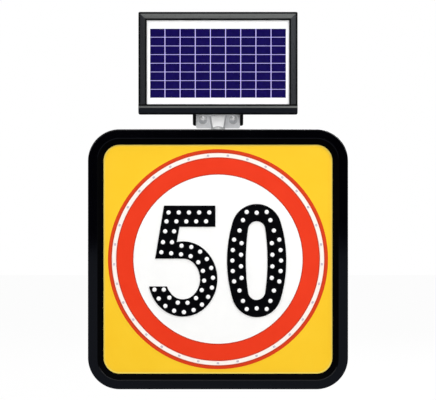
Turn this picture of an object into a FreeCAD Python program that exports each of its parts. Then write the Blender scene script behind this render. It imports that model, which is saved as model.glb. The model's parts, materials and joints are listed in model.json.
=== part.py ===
import FreeCAD, Part
import math
import os

# A solar powered road sign: a square black housing with a "50" of lamps, and a solar panel on a short mast.
# Frame: millimetres, +Z up, the face looks along -Y. The origin is the centre of the four post bolts,
# on the plane that the rails lay against the post. All sizes are in mm and angles in degrees.

# Housing
CASE_SIZE = 708.0
CASE_CORNER_R = 86.0
CASE_DEPTH = 80.0
CASE_WALL = 3.5
CASE_REAR_CHAMFER = 6.0
BEZEL_DEPTH = 18.0
BEZEL_BAND = 25.0
BEZEL_WIDTH = 42.0
BEZEL_FALL = 7.0
BEZEL_EDGE_CHAMFER = 3.0
BEZEL_GROOVE_WIDTH = 18.0
RAIL_DEPTH = 20.0

# Face
GASKET_THICKNESS = 1.5
GASKET_WIDTH = 12.0
SHEET_THICKNESS = 3.0
SHEET_OVERLAP = 14.0
FILM_THICKNESS = 0.4
FILM_GAP = 0.1
DISC_MARGIN = 12.0
RED_WIDTH = 69.5
HALO_INSET = 16.4
HALO_WIDTH = 12.0
HALO_THICKNESS = 0.8
HALO_LED_COUNT = 33
HALO_LED_WIDTH = 3.6
HALO_LED_DEPTH = 2.8
HALO_LED_HEIGHT = 0.8
PLATE_THICKNESS = 3.0

# Lamps
LAMP_R = 6.2
LAMP_HEIGHT = 3.0
LAMP_SIDES = 8

# The digits below are drawn for a disc of this radius and scaled with the real one
DRAWN_DISC_R = 300.0

# Digit 0: an oval of four arcs round (ZERO_X, ZERO_Z), and its counter
ZERO_X = 105.4
ZERO_Z = -3.8
ZERO_HALF_WIDTH = 80.8
ZERO_HALF_HEIGHT = 154.2
ZERO_END_R = 68.0
ZERO_HOLE_HALF_WIDTH = 29.5
ZERO_HOLE_HALF_HEIGHT = 107.3
ZERO_HOLE_END_R = 23.5
ZERO_OUTER_INSET = 14.5
ZERO_INNER_INSET = 13.5
ZERO_OUTER_LAMPS = 24
ZERO_INNER_LAMPS = 18

# Digit 5: a bar, a leaning stem and a bowl of even stroke round (BOWL_X, BOWL_Z)
FIVE_TOP = 146.0
FIVE_BAR = 57.8
FIVE_BAR_RIGHT = -7.1
FIVE_TOP_LEFT = -147.0
FIVE_ARM_LEFT = -171.3
FIVE_STEM_TOP_RIGHT = -104.7
FIVE_STEM_LOW_RIGHT = -112.4
BOWL_X = -95.7
BOWL_Z = -53.9
BOWL_HALF_WIDTH = 94.0
BOWL_HALF_HEIGHT = 102.5
BOWL_END_R = 88.0
BOWL_STROKE = 47.0
FIVE_TERMINAL_DROP = 20.4
BAR_ROWS = ((-134.8, -23.8, 127.2), (-140.4, -32.5, 102.9))
BAR_LAMP_COUNT = 5
STEM_ROWS = ((-144.0, -119.7, 75.8), (-149.9, -125.5, 46.2))
STEM_LAMP_COUNT = 2
ARM_START = (-154.3, 18.9)
BOWL_OUTER_INSET = 12.0
BOWL_INNER_INSET = 11.0
BOWL_LAMP_START = -3.8
BOWL_LAMP_DROP = 29.0
BOWL_OUTER_LAMPS = 15
BOWL_INNER_LAMPS = 13

# Bezel fixing
BOSS_R = 7.0
SCREW_SIDES = 8
SCREW_R = 2.5
SCREW_HEAD_R = 4.8
SCREW_HEAD_HEIGHT = 3.0
SCREW_CLEARANCE = 0.3
THREAD_GAP = 0.05
SCREW_GRIP = 10.0
HOOK_SPACING = 300.0
HOOK_LENGTH = 24.0
HOOK_THICKNESS = 3.0
HOOK_REACH = 14.0
HOOK_BARB = 2.0
HOOK_GAP = 0.4

# Mounting rails: lipped channels with T-nuts, on a 200 by 300 pattern
RAIL_END_MARGIN = 74.0
RAIL_HEIGHT = 41.0
RAIL_WALL = 2.5
RAIL_SLOT = 22.0
RAIL_LIP = 7.0
BOLT_SPACING_X = 200.0
BOLT_SPACING_Z = 300.0
POST_HOLE_R = 4.25
TNUT_WIDTH = 24.0
TNUT_THICKNESS = 6.0
TNUT_GAP = 0.5
RAIL_BOLT_INSET = 50.0
RAIL_BOLT_R = 4.0
RAIL_BOLT_HEAD_R = 7.5
RAIL_BOLT_HEAD = 4.0
RAIL_NUT_HEIGHT = 6.5

# Battery hatch
HATCH_UNDER_RAIL = 24.5
HATCH_OVER_EDGE = 39.0
HATCH_WIDTH = 210.0
HATCH_CORNER_R = 12.0
HATCH_MARGIN = 18.0
HATCH_THICKNESS = 3.0
HATCH_GASKET = 1.5
HATCH_SCREW_GRIP = 6.0
BATTERY_WIDTH = 150.0
BATTERY_MARGIN = 7.0
BATTERY_DEPTH = 35.0
TRAY_THICKNESS = 1.5
TRAY_LIP = 18.0
STRAP_WIDTH = 20.0
STRAP_THICKNESS = 1.2

# Electronics
LED_BOARD_THICKNESS = 1.6
ZERO_BOARD_WIDTH = 130.0
ZERO_BOARD_HEIGHT = 280.0
FIVE_BOARD_WIDTH = 170.0
FIVE_BOARD_HEIGHT = 280.0
CONTROLLER_INSET = 164.0
CONTROLLER_WIDTH = 140.0
CONTROLLER_HEIGHT = 90.0
PARTS_MARGIN = 20.0
TERMINAL_DEPTH = 12.0
TERMINAL_HEIGHT = 10.0
COOLER_WIDTH = 35.0
COOLER_DEPTH = 30.0
COOLER_HEIGHT = 12.0
COOLER_SLOTS = 4
RELAY_WIDTH = 20.0
RELAY_HEIGHT = 14.0
CAN_R = 5.0
STANDOFF_HEIGHT = 8.0
STANDOFF_R = 4.0
STANDOFF_INSET = 8.0
GLAND_X = 120.0
GLAND_DROP = 64.0
GLAND_R = 9.0
GLAND_BORE_R = 3.5
GLAND_LENGTH = 14.0
GLAND_THREAD_R = 6.0
VENT_X = -120.0
VENT_R = 7.0
VENT_HEIGHT = 3.0

# Mast stub
MAST_FROM_REAR = 32.0
MAST_R = 19.0
MAST_WALL = 2.5
MAST_TOP = 51.0
MAST_TAIL = 5.0
MAST_HOLE_GAP = 0.4
BASE_WIDTH = 110.0
BASE_DEPTH = 42.0
BASE_THICKNESS = 5.0
MAST_SCREW_X = 42.0
MAST_SCREW_R = 3.0
MAST_HEAD_R = 6.0
MAST_HEAD = 2.0
SEAL_THICKNESS = 1.5
CAP_HEIGHT = 3.0
CAP_DEPTH = 10.0
CAP_GAP = 0.1

# Tilting clamp on the mast
PIVOT_RISE = 27.0
PIVOT_BEHIND_MAST = 7.0
CLAMP_FIT = 0.08
CLAMP_WIDTH = 120.5
CLAMP_HEIGHT = 46.0
CLAMP_PLATE = 5.0
CLAMP_SPLIT = 4.0
CLAMP_CORNER_R = 5.0
BOSS_FRONT = 25.0
BOSS_DROP = 12.0
BOSS_TOP_HALF = 19.0
BOSS_BOTTOM_HALF = 14.0
BOSS_DRAFT = 6.5
BOSS_TOP_DROP = 1.5
BOSS_BOTTOM_RISE = 1.5
ARCH_R = 28.0
ARCH_RISE = 4.5
SADDLE_WALL = 5.0
SADDLE_HEIGHT = 30.0
SADDLE_WIDTH = 97.0
CLAMP_BOLT_X = 41.5
CLAMP_BOLT_R = 4.0
CLAMP_WASHER_R = 9.5
CLAMP_WASHER = 1.6
CLAMP_HEAD_AF = 13.0
CLAMP_HEAD = 5.3
CLAMP_NUT = 6.5
CLAMP_BOLT_SPARE = 2.0
BOLT_GAP = 0.3
FLANGE_R = 15.5
EAR_THICKNESS = 8.5
EAR_CHAMFER = 3.0
EAR_GAP = 0.3
TILT_BOLT_R = 4.0
TILT_HEAD_R = 7.5
TILT_HEAD = 3.5
PIN_FIT = 0.08
BRACKET_PLATE = 4.0
BRACKET_HEIGHT = 34.0
BRACKET_SCREW_X = 40.0
BRACKET_SCREW_R = 3.0
BRACKET_SCREW_RISE = 10.0
BRACKET_SCREW_GRIP = 8.0

# Solar panel
PANEL_WIDTH = 435.0
PANEL_HEIGHT = 278.5
PANEL_DEPTH = 25.0
PANEL_GAP = 40.0
PANEL_AHEAD = 35.0
PANEL_CORNER_R = 4.0
FRAME_SIDE = 23.0
FRAME_BOTTOM = 27.5
FRAME_CREST = 9.5
FRAME_BEVEL = 6.0
FRAME_STEP = 4.5
FRAME_STEP_DEPTH = 2.0
FRAME_LIP = 3.6
FRAME_WALL = 2.5
FRAME_JAW = 2.0
FRAME_HOLD = 8.0
FRAME_FLANGE = 20.0
LAMINATE_GAP = 0.5
GLASS_THICKNESS = 3.2
CELL_THICKNESS = 0.3
BACKSHEET_THICKNESS = 0.5
CELL_COLUMNS = 9
CELL_ROWS = 8
CELL_PITCH_X = 41.2
CELL_PITCH_Z = 23.6
CELL_GAP_X = 3.5
CELL_GAP_Z = 2.4
CELL_FIELD_RISE = 139.0
KEY_LEG = 32.0
KEY_WIDTH = 11.0
KEY_GAP = 0.4
BOX_WIDTH = 80.0
BOX_HEIGHT = 60.0
BOX_DEPTH = 12.0
BOX_LID = 2.5
BOX_WALL = 2.0
BOX_CORNER_R = 6.0
BOX_DROP = 60.0
BOX_GLAND_R = 5.0
BOX_GLAND_LENGTH = 10.0

# Radii of the disc: it fills the bezel's opening but for a margin
DISC_R = CASE_SIZE / 2 - BEZEL_WIDTH - DISC_MARGIN
WHITE_R = DISC_R - RED_WIDTH
HALO_R = DISC_R - HALO_INSET
DIGIT_SCALE = DISC_R / DRAWN_DISC_R

# Planes along Y, from the post side forwards, and levels along Z
Y_CASE_REAR = -RAIL_DEPTH
Y_CASE_FLOOR = Y_CASE_REAR - CASE_WALL
Y_FRONT = Y_CASE_REAR - CASE_DEPTH
Y_SPLIT = Y_FRONT + BEZEL_DEPTH
Y_LIP = Y_FRONT + BEZEL_FALL + CASE_WALL
Y_SHEET = Y_LIP + GASKET_THICKNESS
Y_SHEET_REAR = Y_SHEET + SHEET_THICKNESS
Y_FILM = Y_SHEET - FILM_THICKNESS
Y_PLATE = Y_FILM - PLATE_THICKNESS
Z_TOP = CASE_SIZE / 2
HATCH_TOP = -(BOLT_SPACING_Z + RAIL_HEIGHT) / 2 - HATCH_UNDER_RAIL
HATCH_LOW = HATCH_OVER_EDGE - CASE_SIZE / 2
HATCH_HEIGHT = HATCH_TOP - HATCH_LOW
HATCH_Z = (HATCH_TOP + HATCH_LOW) / 2
BATTERY_HEIGHT = HATCH_HEIGHT - 2 * (HATCH_MARGIN + BATTERY_MARGIN)
CONTROLLER_X = CONTROLLER_INSET - CASE_SIZE / 2
CONTROLLER_Z = HATCH_Z
GLAND_Z = Z_TOP - GLAND_DROP
RAIL_LENGTH = CASE_SIZE - 2 * RAIL_END_MARGIN
RAIL_BOLT_SPACING = RAIL_LENGTH - 2 * RAIL_BOLT_INSET
Y_MAST = Y_CASE_REAR - MAST_FROM_REAR
Y_PIVOT = Y_MAST + PIVOT_BEHIND_MAST
Z_PIVOT = Z_TOP + PIVOT_RISE
Z_PANEL = Z_TOP + PANEL_GAP
Y_PANEL_BACK = Y_MAST - PANEL_AHEAD
Y_PANEL = Y_PANEL_BACK - PANEL_DEPTH


def vec(x, y, z):
    return FreeCAD.Vector(x, y, z)


X_AXIS = vec(1, 0, 0)
Y_AXIS = vec(0, 1, 0)
Z_AXIS = vec(0, 0, 1)


def block(x0, x1, y0, y1, z0, z1):
    """A box between two corners."""
    return Part.makeBox(x1 - x0, y1 - y0, z1 - z0, vec(x0, y0, z0))


def rod_x(r, x0, x1, y, z):
    return Part.makeCylinder(r, x1 - x0, vec(x0, y, z), X_AXIS)


def rod_y(r, x, z, y0, y1):
    return Part.makeCylinder(r, y1 - y0, vec(x, y0, z), Y_AXIS)


def rod_z(r, x, y, z0, z1):
    return Part.makeCylinder(r, z1 - z0, vec(x, y, z0), Z_AXIS)


def polygon_face(points):
    return Part.Face(Part.makePolygon(points + [points[0]]))


def prism_y(outline, y0, y1):
    """A flat outline drawn at y = 0, as a wire or a face, pushed from y0 to y1."""
    face = Part.Face(outline) if isinstance(outline, Part.Wire) else outline
    solid = face.extrude(vec(0, y1 - y0, 0))
    solid.translate(vec(0, y0, 0))
    return solid


def rounded_rectangle(width, height, r, x=0.0, z=0.0, y=0.0):
    """A wire in the XZ plane: four straight sides joined by quarter circles."""
    a = width / 2 - r
    b = height / 2 - r
    edges = []
    for side, (cx, cz) in enumerate(((a, b), (-a, b), (-a, -b), (a, -b))):
        turns = [math.radians(90 * side + step) for step in (0, 45, 90)]
        arc = [vec(x + cx + r * math.cos(t), y, z + cz + r * math.sin(t)) for t in turns]
        if edges:
            edges.append(Part.LineSegment(edges[-1].valueAt(edges[-1].LastParameter), arc[0]).toShape())
        edges.append(Part.Arc(*arc).toShape())
    last = edges[-1].valueAt(edges[-1].LastParameter)
    first = edges[0].valueAt(edges[0].FirstParameter)
    edges.append(Part.LineSegment(last, first).toShape())
    return Part.Wire(edges)


def case_outline(inset):
    """The housing's own outline, moved inwards by an inset."""
    size = CASE_SIZE - 2 * inset
    return rounded_rectangle(size, size, CASE_CORNER_R - inset)


def case_ring(outer_inset, inner_inset, y0, y1):
    """A ring that follows the housing's outline between two insets."""
    return prism_y(case_outline(outer_inset), y0, y1).cut(prism_y(case_outline(inner_inset), y0, y1))


def hexagon_y(across_flats, x, z, y0, y1):
    return regular_prism_y(6, across_flats / 2 / math.cos(math.pi / 6), x, z, y0, y1)


def regular_prism_y(sides, r, x, z, y0, y1):
    turns = [2 * math.pi * i / sides for i in range(sides)]
    return prism_y(polygon_face([vec(x + r * math.cos(t), 0, z + r * math.sin(t)) for t in turns]), y0, y1)


def screw_y(x, z, r, head_r, head, y_seat, grip):
    """A pan head screw that enters towards -Y: its head stands behind y_seat and its shank goes grip ahead."""
    shank = regular_prism_y(SCREW_SIDES, r, x, z, y_seat - grip, y_seat)
    return shank.fuse(regular_prism_y(SCREW_SIDES, head_r, x, z, y_seat, y_seat + head)).removeSplitter()


def group(solids):
    return Part.makeCompound(solids)


def side_arc_radius(half_width, half_height, end_r):
    """The radius of an oval's two side arcs, tangent to its two end arcs of radius end_r."""
    rise = half_height - end_r
    return (half_width**2 + rise**2 - end_r**2) / (2 * (half_width - end_r))


class Oval:
    """An upright oval of four tangent arcs: two end arcs above and below its centre, and two side arcs."""

    def __init__(self, x, z, half_width, half_height, end_r, inset=0.0):
        side_r = side_arc_radius(half_width, half_height, end_r)
        self.x = x
        self.z = z
        self.half_width = half_width - inset
        self.half_height = half_height - inset
        self.end_r = end_r - inset
        self.side_r = side_r - inset
        self.rise = half_height - end_r
        self.reach = side_r - half_width
        self.lean = math.atan2(self.rise, self.reach)

    def point(self, dx, dz):
        return vec(self.x + dx, 0, self.z + dz)

    def top(self):
        return self.point(0, self.half_height)

    def joint(self, right, up):
        """Where a side arc meets an end arc."""
        dx = self.end_r * math.cos(self.lean)
        dz = self.rise + self.end_r * math.sin(self.lean)
        return self.point(right * dx, up * dz)

    def at_height(self, right, dz):
        """The point of a side arc at a height over the centre."""
        return self.point(right * (math.sqrt(self.side_r**2 - dz**2) - self.reach), dz)

    def at_offset(self, dx):
        """The point of the upper end arc at a distance from the centre line."""
        return self.point(dx, self.rise + math.sqrt(self.end_r**2 - dx**2))

    def side_arc(self, right, start_dz=None):
        """The right (1) or left (-1) side arc, from its upper joint or from start_dz, down to its lower joint."""
        start = self.joint(right, 1)
        first_dz = start.z - self.z
        if start_dz is not None:
            start = self.at_height(right, start_dz)
            first_dz = start_dz
        last_dz = self.joint(right, -1).z - self.z
        middle = self.at_height(right, (first_dz + last_dz) / 2)
        return Part.Arc(start, middle, self.joint(right, -1)).toShape()

    def upper_arc(self, start_dx):
        """The upper end arc, from an offset from the centre line round to the right joint."""
        start = self.at_offset(start_dx)
        turn0 = math.atan2(start.z - self.z - self.rise, start.x - self.x)
        turn = (turn0 + self.lean) / 2
        middle = self.point(self.end_r * math.cos(turn), self.rise + self.end_r * math.sin(turn))
        return Part.Arc(start, middle, self.joint(1, 1)).toShape()

    def lower_arc(self):
        return Part.Arc(self.joint(1, -1), self.point(0, -self.half_height), self.joint(-1, -1)).toShape()

    def wire(self):
        """The whole oval, from its top point clockwise."""
        left_turn = (math.pi - self.lean + math.pi / 2) / 2
        left_middle = self.point(self.end_r * math.cos(left_turn), self.rise + self.end_r * math.sin(left_turn))
        left_top = Part.Arc(self.joint(-1, 1), left_middle, self.top()).toShape()
        return Part.Wire([self.upper_arc(0.0), self.side_arc(1), self.lower_arc(), self.side_arc(-1), left_top])


def to_disc(wire):
    """A digit's outline, from the size that it is drawn at to the disc's."""
    return wire.scaled(DIGIT_SCALE, vec(0, 0, 0))


def zero_outer(inset=0.0):
    return Oval(ZERO_X, ZERO_Z, ZERO_HALF_WIDTH, ZERO_HALF_HEIGHT, ZERO_END_R, inset)


def zero_hole(inset=0.0):
    return Oval(ZERO_X, ZERO_Z, ZERO_HOLE_HALF_WIDTH, ZERO_HOLE_HALF_HEIGHT, ZERO_HOLE_END_R, inset)


def bowl(inset=0.0):
    return Oval(BOWL_X, BOWL_Z, BOWL_HALF_WIDTH, BOWL_HALF_HEIGHT, BOWL_END_R, inset)


def line(a, b):
    return Part.LineSegment(a, b).toShape()


def five_outline():
    """The digit 5, clockwise from its top left corner: bar, stem, the bowl's outer side, terminal, inner side, arm."""
    outer = bowl()
    inner = bowl(BOWL_STROKE)
    top_left = vec(FIVE_TOP_LEFT, 0, FIVE_TOP)
    top_right = vec(FIVE_BAR_RIGHT, 0, FIVE_TOP)
    bar_right = vec(FIVE_BAR_RIGHT, 0, FIVE_TOP - FIVE_BAR)
    stem_top = vec(FIVE_STEM_TOP_RIGHT, 0, FIVE_TOP - FIVE_BAR)
    stem_low = outer.at_offset(FIVE_STEM_LOW_RIGHT - BOWL_X)
    terminal_outer = outer.at_height(-1, -FIVE_TERMINAL_DROP)
    terminal_inner = inner.at_height(-1, -FIVE_TERMINAL_DROP)
    arm_left = vec(FIVE_ARM_LEFT, 0, inner.top().z)
    return Part.Wire([
        line(top_left, top_right),
        line(top_right, bar_right),
        line(bar_right, stem_top),
        line(stem_top, stem_low),
        outer.upper_arc(FIVE_STEM_LOW_RIGHT - BOWL_X),
        outer.side_arc(1),
        outer.lower_arc(),
        outer.side_arc(-1, -FIVE_TERMINAL_DROP),
        line(terminal_outer, terminal_inner),
        inner.side_arc(-1, -FIVE_TERMINAL_DROP),
        inner.lower_arc(),
        inner.side_arc(1),
        inner.upper_arc(0.0),
        line(inner.top(), arm_left),
        line(arm_left, top_left),
    ])


def spaced(wire, count, closed):
    """Points at even steps along a wire, from its first point."""
    points = wire.discretize(Number=count + 1 if closed else count)
    return points[:count]


def row(x0, x1, z, count):
    step = (x1 - x0) / (count - 1)
    return [vec(x0 + i * step, 0, z) for i in range(count)]


def five_lamp_points():
    """Two straight rows on the bar, two short rows on the stem, and two rows that follow the bowl."""
    outer = bowl(BOWL_OUTER_INSET)
    inner = bowl(BOWL_STROKE - BOWL_INNER_INSET)
    outer_path = Part.Wire([
        outer.upper_arc(BOWL_LAMP_START),
        outer.side_arc(1),
        outer.lower_arc(),
        outer.side_arc(-1, -BOWL_LAMP_DROP),
    ])
    inner_path = Part.Wire([
        line(vec(ARM_START[0], 0, ARM_START[1]), inner.top()),
        inner.upper_arc(0.0),
        inner.side_arc(1),
        inner.lower_arc(),
        inner.side_arc(-1, -BOWL_LAMP_DROP),
    ])
    points = [p for ends in BAR_ROWS for p in row(*ends, BAR_LAMP_COUNT)]
    points += [p for ends in STEM_ROWS for p in row(*ends, STEM_LAMP_COUNT)]
    points += spaced(outer_path, BOWL_OUTER_LAMPS, False)
    return points + spaced(inner_path, BOWL_INNER_LAMPS, False)


def zero_lamp_points():
    """Two closed rows of lamps, one inside the oval's edge and one round its counter."""
    outer = spaced(zero_outer(ZERO_OUTER_INSET).wire(), ZERO_OUTER_LAMPS, True)
    return outer + spaced(zero_hole(-ZERO_INNER_INSET).wire(), ZERO_INNER_LAMPS, True)


def lamps(points):
    """Lens caps that stand on a digit: short prisms with few sides, because there are so many."""
    places = [p * DIGIT_SCALE for p in points]
    return group([regular_prism_y(LAMP_SIDES, LAMP_R, p.x, p.z, Y_PLATE - LAMP_HEIGHT, Y_PLATE) for p in places])


def corner_places():
    """The middle of the bezel's groove at the four rounded corners."""
    arm = CASE_SIZE / 2 - CASE_CORNER_R
    reach = (CASE_CORNER_R - boss_inset()) * math.cos(math.pi / 4)
    return [(i * (arm + reach), k * (arm + reach)) for i in (-1, 1) for k in (-1, 1)]


def boss_inset():
    return CASE_WALL + BEZEL_GROOVE_WIDTH / 2


def hook_places():
    """Each hook's place on the housing's outline: a turn about Y and a shift along the side."""
    return [(turn, shift) for turn in (0, 90, 180, 270) for shift in (-HOOK_SPACING / 2, HOOK_SPACING / 2)]


def turned(solid, turn):
    solid.rotate(vec(0, 0, 0), Y_AXIS, turn)
    return solid


def front_bezel():
    """A moulded ring: a flat band, an inner band that falls back to the opening, and a hollow rear side."""
    ring = case_ring(0.0, BEZEL_WIDTH, Y_FRONT, Y_SPLIT)
    edges = [e for e in ring.Edges if on_front_edge(e)]
    ring = ring.makeChamfer(BEZEL_EDGE_CHAMFER, edges)
    mouth = Part.makeLoft([at_depth(case_outline(BEZEL_BAND), Y_FRONT),
                           at_depth(case_outline(BEZEL_WIDTH), Y_FRONT + BEZEL_FALL)], True, True)
    ring = ring.cut(mouth)
    ring = ring.cut(case_ring(CASE_WALL, BEZEL_WIDTH, Y_LIP, Y_SPLIT))
    groove_floor = Y_FRONT + CASE_WALL
    ring = ring.cut(case_ring(CASE_WALL, CASE_WALL + BEZEL_GROOVE_WIDTH, groove_floor, Y_LIP))
    for x, z in corner_places():
        ring = ring.fuse(regular_prism_y(SCREW_SIDES, BOSS_R, x, z, groove_floor, Y_SHEET_REAR))
        ring = ring.cut(rod_y(SCREW_R + THREAD_GAP, x, z, groove_floor, Y_SHEET_REAR))
    for turn, shift in hook_places():
        ring = ring.fuse(turned(bezel_hook(shift), turn))
    return ring.removeSplitter()


def at_depth(wire, y):
    wire.translate(vec(0, y, 0))
    return wire


def on_front_edge(edge):
    """Edges of the outer outline that lie on the front plane."""
    box = edge.BoundBox
    on_plane = abs(box.YMin - Y_FRONT) < 0.001 and abs(box.YMax - Y_FRONT) < 0.001
    limit = CASE_SIZE / 2 - CASE_CORNER_R
    p = edge.valueAt((edge.FirstParameter + edge.LastParameter) / 2)
    past = vec(max(abs(p.x) - limit, 0), 0, max(abs(p.z) - limit, 0)).Length
    return on_plane and past > CASE_CORNER_R - BEZEL_BAND / 2


def bezel_hook(shift):
    """A springy tongue behind the top side's groove, with a barb that drops behind a catch in the case."""
    z = Z_TOP - CASE_WALL - HOOK_GAP
    x0 = shift - HOOK_LENGTH / 2
    tongue = block(x0, x0 + HOOK_LENGTH, Y_FRONT + CASE_WALL, Y_SPLIT + HOOK_REACH,
                   z - HOOK_BARB - HOOK_THICKNESS, z - HOOK_BARB)
    profile = [
        vec(x0, Y_SPLIT + HOOK_REACH, z - HOOK_BARB),
        vec(x0, Y_SPLIT + HOOK_REACH - 2 * HOOK_BARB, z),
        vec(x0, Y_SPLIT + HOOK_REACH - 3 * HOOK_BARB, z),
        vec(x0, Y_SPLIT + HOOK_REACH - 3 * HOOK_BARB, z - HOOK_BARB),
    ]
    barb = polygon_face(profile).extrude(vec(HOOK_LENGTH, 0, 0))
    return tongue.fuse(barb).removeSplitter()


def hook_catch(shift):
    """The catch that a hook's barb sits behind, moulded on the case wall."""
    z = Z_TOP - CASE_WALL
    front = Y_SPLIT + HOOK_REACH - 3 * HOOK_BARB - HOOK_GAP
    x0 = shift - HOOK_LENGTH / 2
    return block(x0, x0 + HOOK_LENGTH, front - HOOK_BARB, front, z - HOOK_BARB, z)


def rear_case():
    """The moulded tub: chamfered behind, with corner screw bosses, hook catches and openings in its floor and top."""
    tub = prism_y(case_outline(0.0), Y_CASE_REAR, Y_SPLIT)
    edges = [e for e in tub.Edges if e.BoundBox.YMin > Y_CASE_REAR - 0.001]
    tub = tub.makeChamfer(CASE_REAR_CHAMFER, edges)
    core = prism_y(case_outline(CASE_WALL), Y_SPLIT, Y_CASE_FLOOR)
    core_edges = [e for e in core.Edges if e.BoundBox.YMin > Y_CASE_FLOOR - 0.001]
    tub = tub.cut(core.makeChamfer(CASE_REAR_CHAMFER, core_edges))
    added = [regular_prism_y(SCREW_SIDES, BOSS_R, x, z, Y_SPLIT, Y_CASE_FLOOR) for x, z in corner_places()]
    added += [turned(hook_catch(shift), turn) for turn, shift in hook_places()]
    cuts = [rod_y(SCREW_R + SCREW_CLEARANCE, x, z, Y_SPLIT, Y_CASE_REAR) for x, z in corner_places()]
    cuts += [rod_y(RAIL_BOLT_R + SCREW_CLEARANCE, x, z, Y_CASE_FLOOR, Y_CASE_REAR) for x, z in rail_bolt_places()]
    cuts += [rod_y(SCREW_R + THREAD_GAP, x, HATCH_Z, Y_CASE_FLOOR, Y_CASE_REAR) for x in hatch_screw_places()]
    cuts.append(prism_y(hatch_outline(-HATCH_MARGIN), Y_CASE_FLOOR, Y_CASE_REAR))
    cuts.append(rod_y(GLAND_THREAD_R + SCREW_CLEARANCE, GLAND_X, GLAND_Z, Y_CASE_FLOOR, Y_CASE_REAR))
    cuts.append(rod_z(MAST_R + MAST_HOLE_GAP, 0, Y_MAST, Z_TOP - CASE_WALL, Z_TOP))
    cuts += [countersunk_z(x, MAST_SCREW_R + SCREW_CLEARANCE, MAST_HEAD_R + SCREW_CLEARANCE, Z_TOP - CASE_WALL)
             for x in mast_screw_places()]
    return tub.fuse(added).cut(cuts).removeSplitter()


def bezel_gasket():
    inset = BEZEL_WIDTH - 1.0
    return case_ring(inset - GASKET_WIDTH, inset, Y_LIP, Y_SHEET)


def sheet_inset():
    return BEZEL_WIDTH - SHEET_OVERLAP


def face_sheet():
    return prism_y(case_outline(sheet_inset()), Y_SHEET, Y_SHEET_REAR)


def retaining_frame():
    """A flat ring clamped between the bezel's bosses and the case: it holds the face sheet against its gasket."""
    frame = case_ring(CASE_WALL + 1.0, BEZEL_WIDTH, Y_SHEET_REAR, Y_SPLIT)
    holes = [rod_y(SCREW_R + SCREW_CLEARANCE, x, z, Y_SHEET_REAR, Y_SPLIT) for x, z in corner_places()]
    for turn, shift in hook_places():
        half = HOOK_LENGTH / 2 + HOOK_GAP
        low = Z_TOP - CASE_WALL - HOOK_GAP - HOOK_BARB - HOOK_THICKNESS - HOOK_GAP
        holes.append(turned(block(shift - half, shift + half, Y_SHEET_REAR, Y_SPLIT, low, Z_TOP), turn))
    return frame.cut(holes)


def bezel_screws():
    return group([screw_y(x, z, SCREW_R, SCREW_HEAD_R, SCREW_HEAD_HEIGHT, Y_CASE_REAR, bezel_screw_length())
                  for x, z in corner_places()])


def bezel_screw_length():
    """From the case's rear face through its boss and the retaining frame, and a grip's length into the bezel."""
    return Y_CASE_REAR - Y_SHEET_REAR + SCREW_GRIP


def disc_ring(outer, inner, y0, y1):
    return rod_y(outer, 0, 0, y0, y1).cut(rod_y(inner, 0, 0, y0, y1))


def red_ring():
    return disc_ring(DISC_R, WHITE_R + FILM_GAP, Y_FILM, Y_SHEET)


def white_disc():
    return rod_y(WHITE_R, 0, 0, Y_FILM, Y_SHEET)


def halo_strip():
    return disc_ring(HALO_R + HALO_WIDTH / 2, HALO_R - HALO_WIDTH / 2, Y_FILM - HALO_THICKNESS, Y_FILM)


def halo_leds():
    """Small lamps round the strip, evenly spaced, with one at the very bottom."""
    front = Y_FILM - HALO_THICKNESS - HALO_LED_HEIGHT
    lamp = block(-HALO_LED_WIDTH / 2, HALO_LED_WIDTH / 2, front, Y_FILM - HALO_THICKNESS,
                 -HALO_R - HALO_LED_DEPTH / 2, -HALO_R + HALO_LED_DEPTH / 2)
    step = math.degrees(2 * math.pi) / HALO_LED_COUNT
    return group([turned(lamp.copy(), i * step) for i in range(HALO_LED_COUNT)])


def digit_zero():
    plate = prism_y(to_disc(zero_outer().wire()), Y_PLATE, Y_FILM)
    return plate.cut(prism_y(to_disc(zero_hole().wire()), Y_PLATE, Y_FILM))


def digit_five():
    return prism_y(to_disc(five_outline()), Y_PLATE, Y_FILM)


def led_board(x, width, height):
    """A lamp board behind the face sheet, under one digit."""
    middle = x * DIGIT_SCALE
    half_width = width * DIGIT_SCALE / 2
    half_height = height * DIGIT_SCALE / 2
    return block(middle - half_width, middle + half_width, Y_SHEET_REAR, Y_SHEET_REAR + LED_BOARD_THICKNESS,
                 -half_height, half_height)


def rail_levels():
    return (-BOLT_SPACING_Z / 2, BOLT_SPACING_Z / 2)


def rail_bolt_places():
    return [(i * RAIL_BOLT_SPACING / 2, z) for i in (-1, 1) for z in rail_levels()]


def mounting_rail(z):
    """A lipped channel: its web lies on the case and its slot faces the post. Drawn as one closed section."""
    h = RAIL_HEIGHT / 2
    lip = RAIL_SLOT / 2
    profile = [
        (Y_CASE_REAR, -h), (0, -h), (0, -lip), (-RAIL_LIP, -lip), (-RAIL_LIP, -lip - RAIL_WALL),
        (-RAIL_WALL, -lip - RAIL_WALL), (-RAIL_WALL, -h + RAIL_WALL),
        (Y_CASE_REAR + RAIL_WALL, -h + RAIL_WALL), (Y_CASE_REAR + RAIL_WALL, h - RAIL_WALL),
        (-RAIL_WALL, h - RAIL_WALL), (-RAIL_WALL, lip + RAIL_WALL), (-RAIL_LIP, lip + RAIL_WALL),
        (-RAIL_LIP, lip), (0, lip), (0, h), (Y_CASE_REAR, h),
    ]
    face = polygon_face([vec(-RAIL_LENGTH / 2, y, z + dz) for y, dz in profile])
    rail = face.extrude(vec(RAIL_LENGTH, 0, 0))
    holes = [rod_y(RAIL_BOLT_R + SCREW_CLEARANCE, x, z, Y_CASE_REAR, Y_CASE_REAR + RAIL_WALL)
             for x, level in rail_bolt_places() if level == z]
    return rail.cut(holes)


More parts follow.
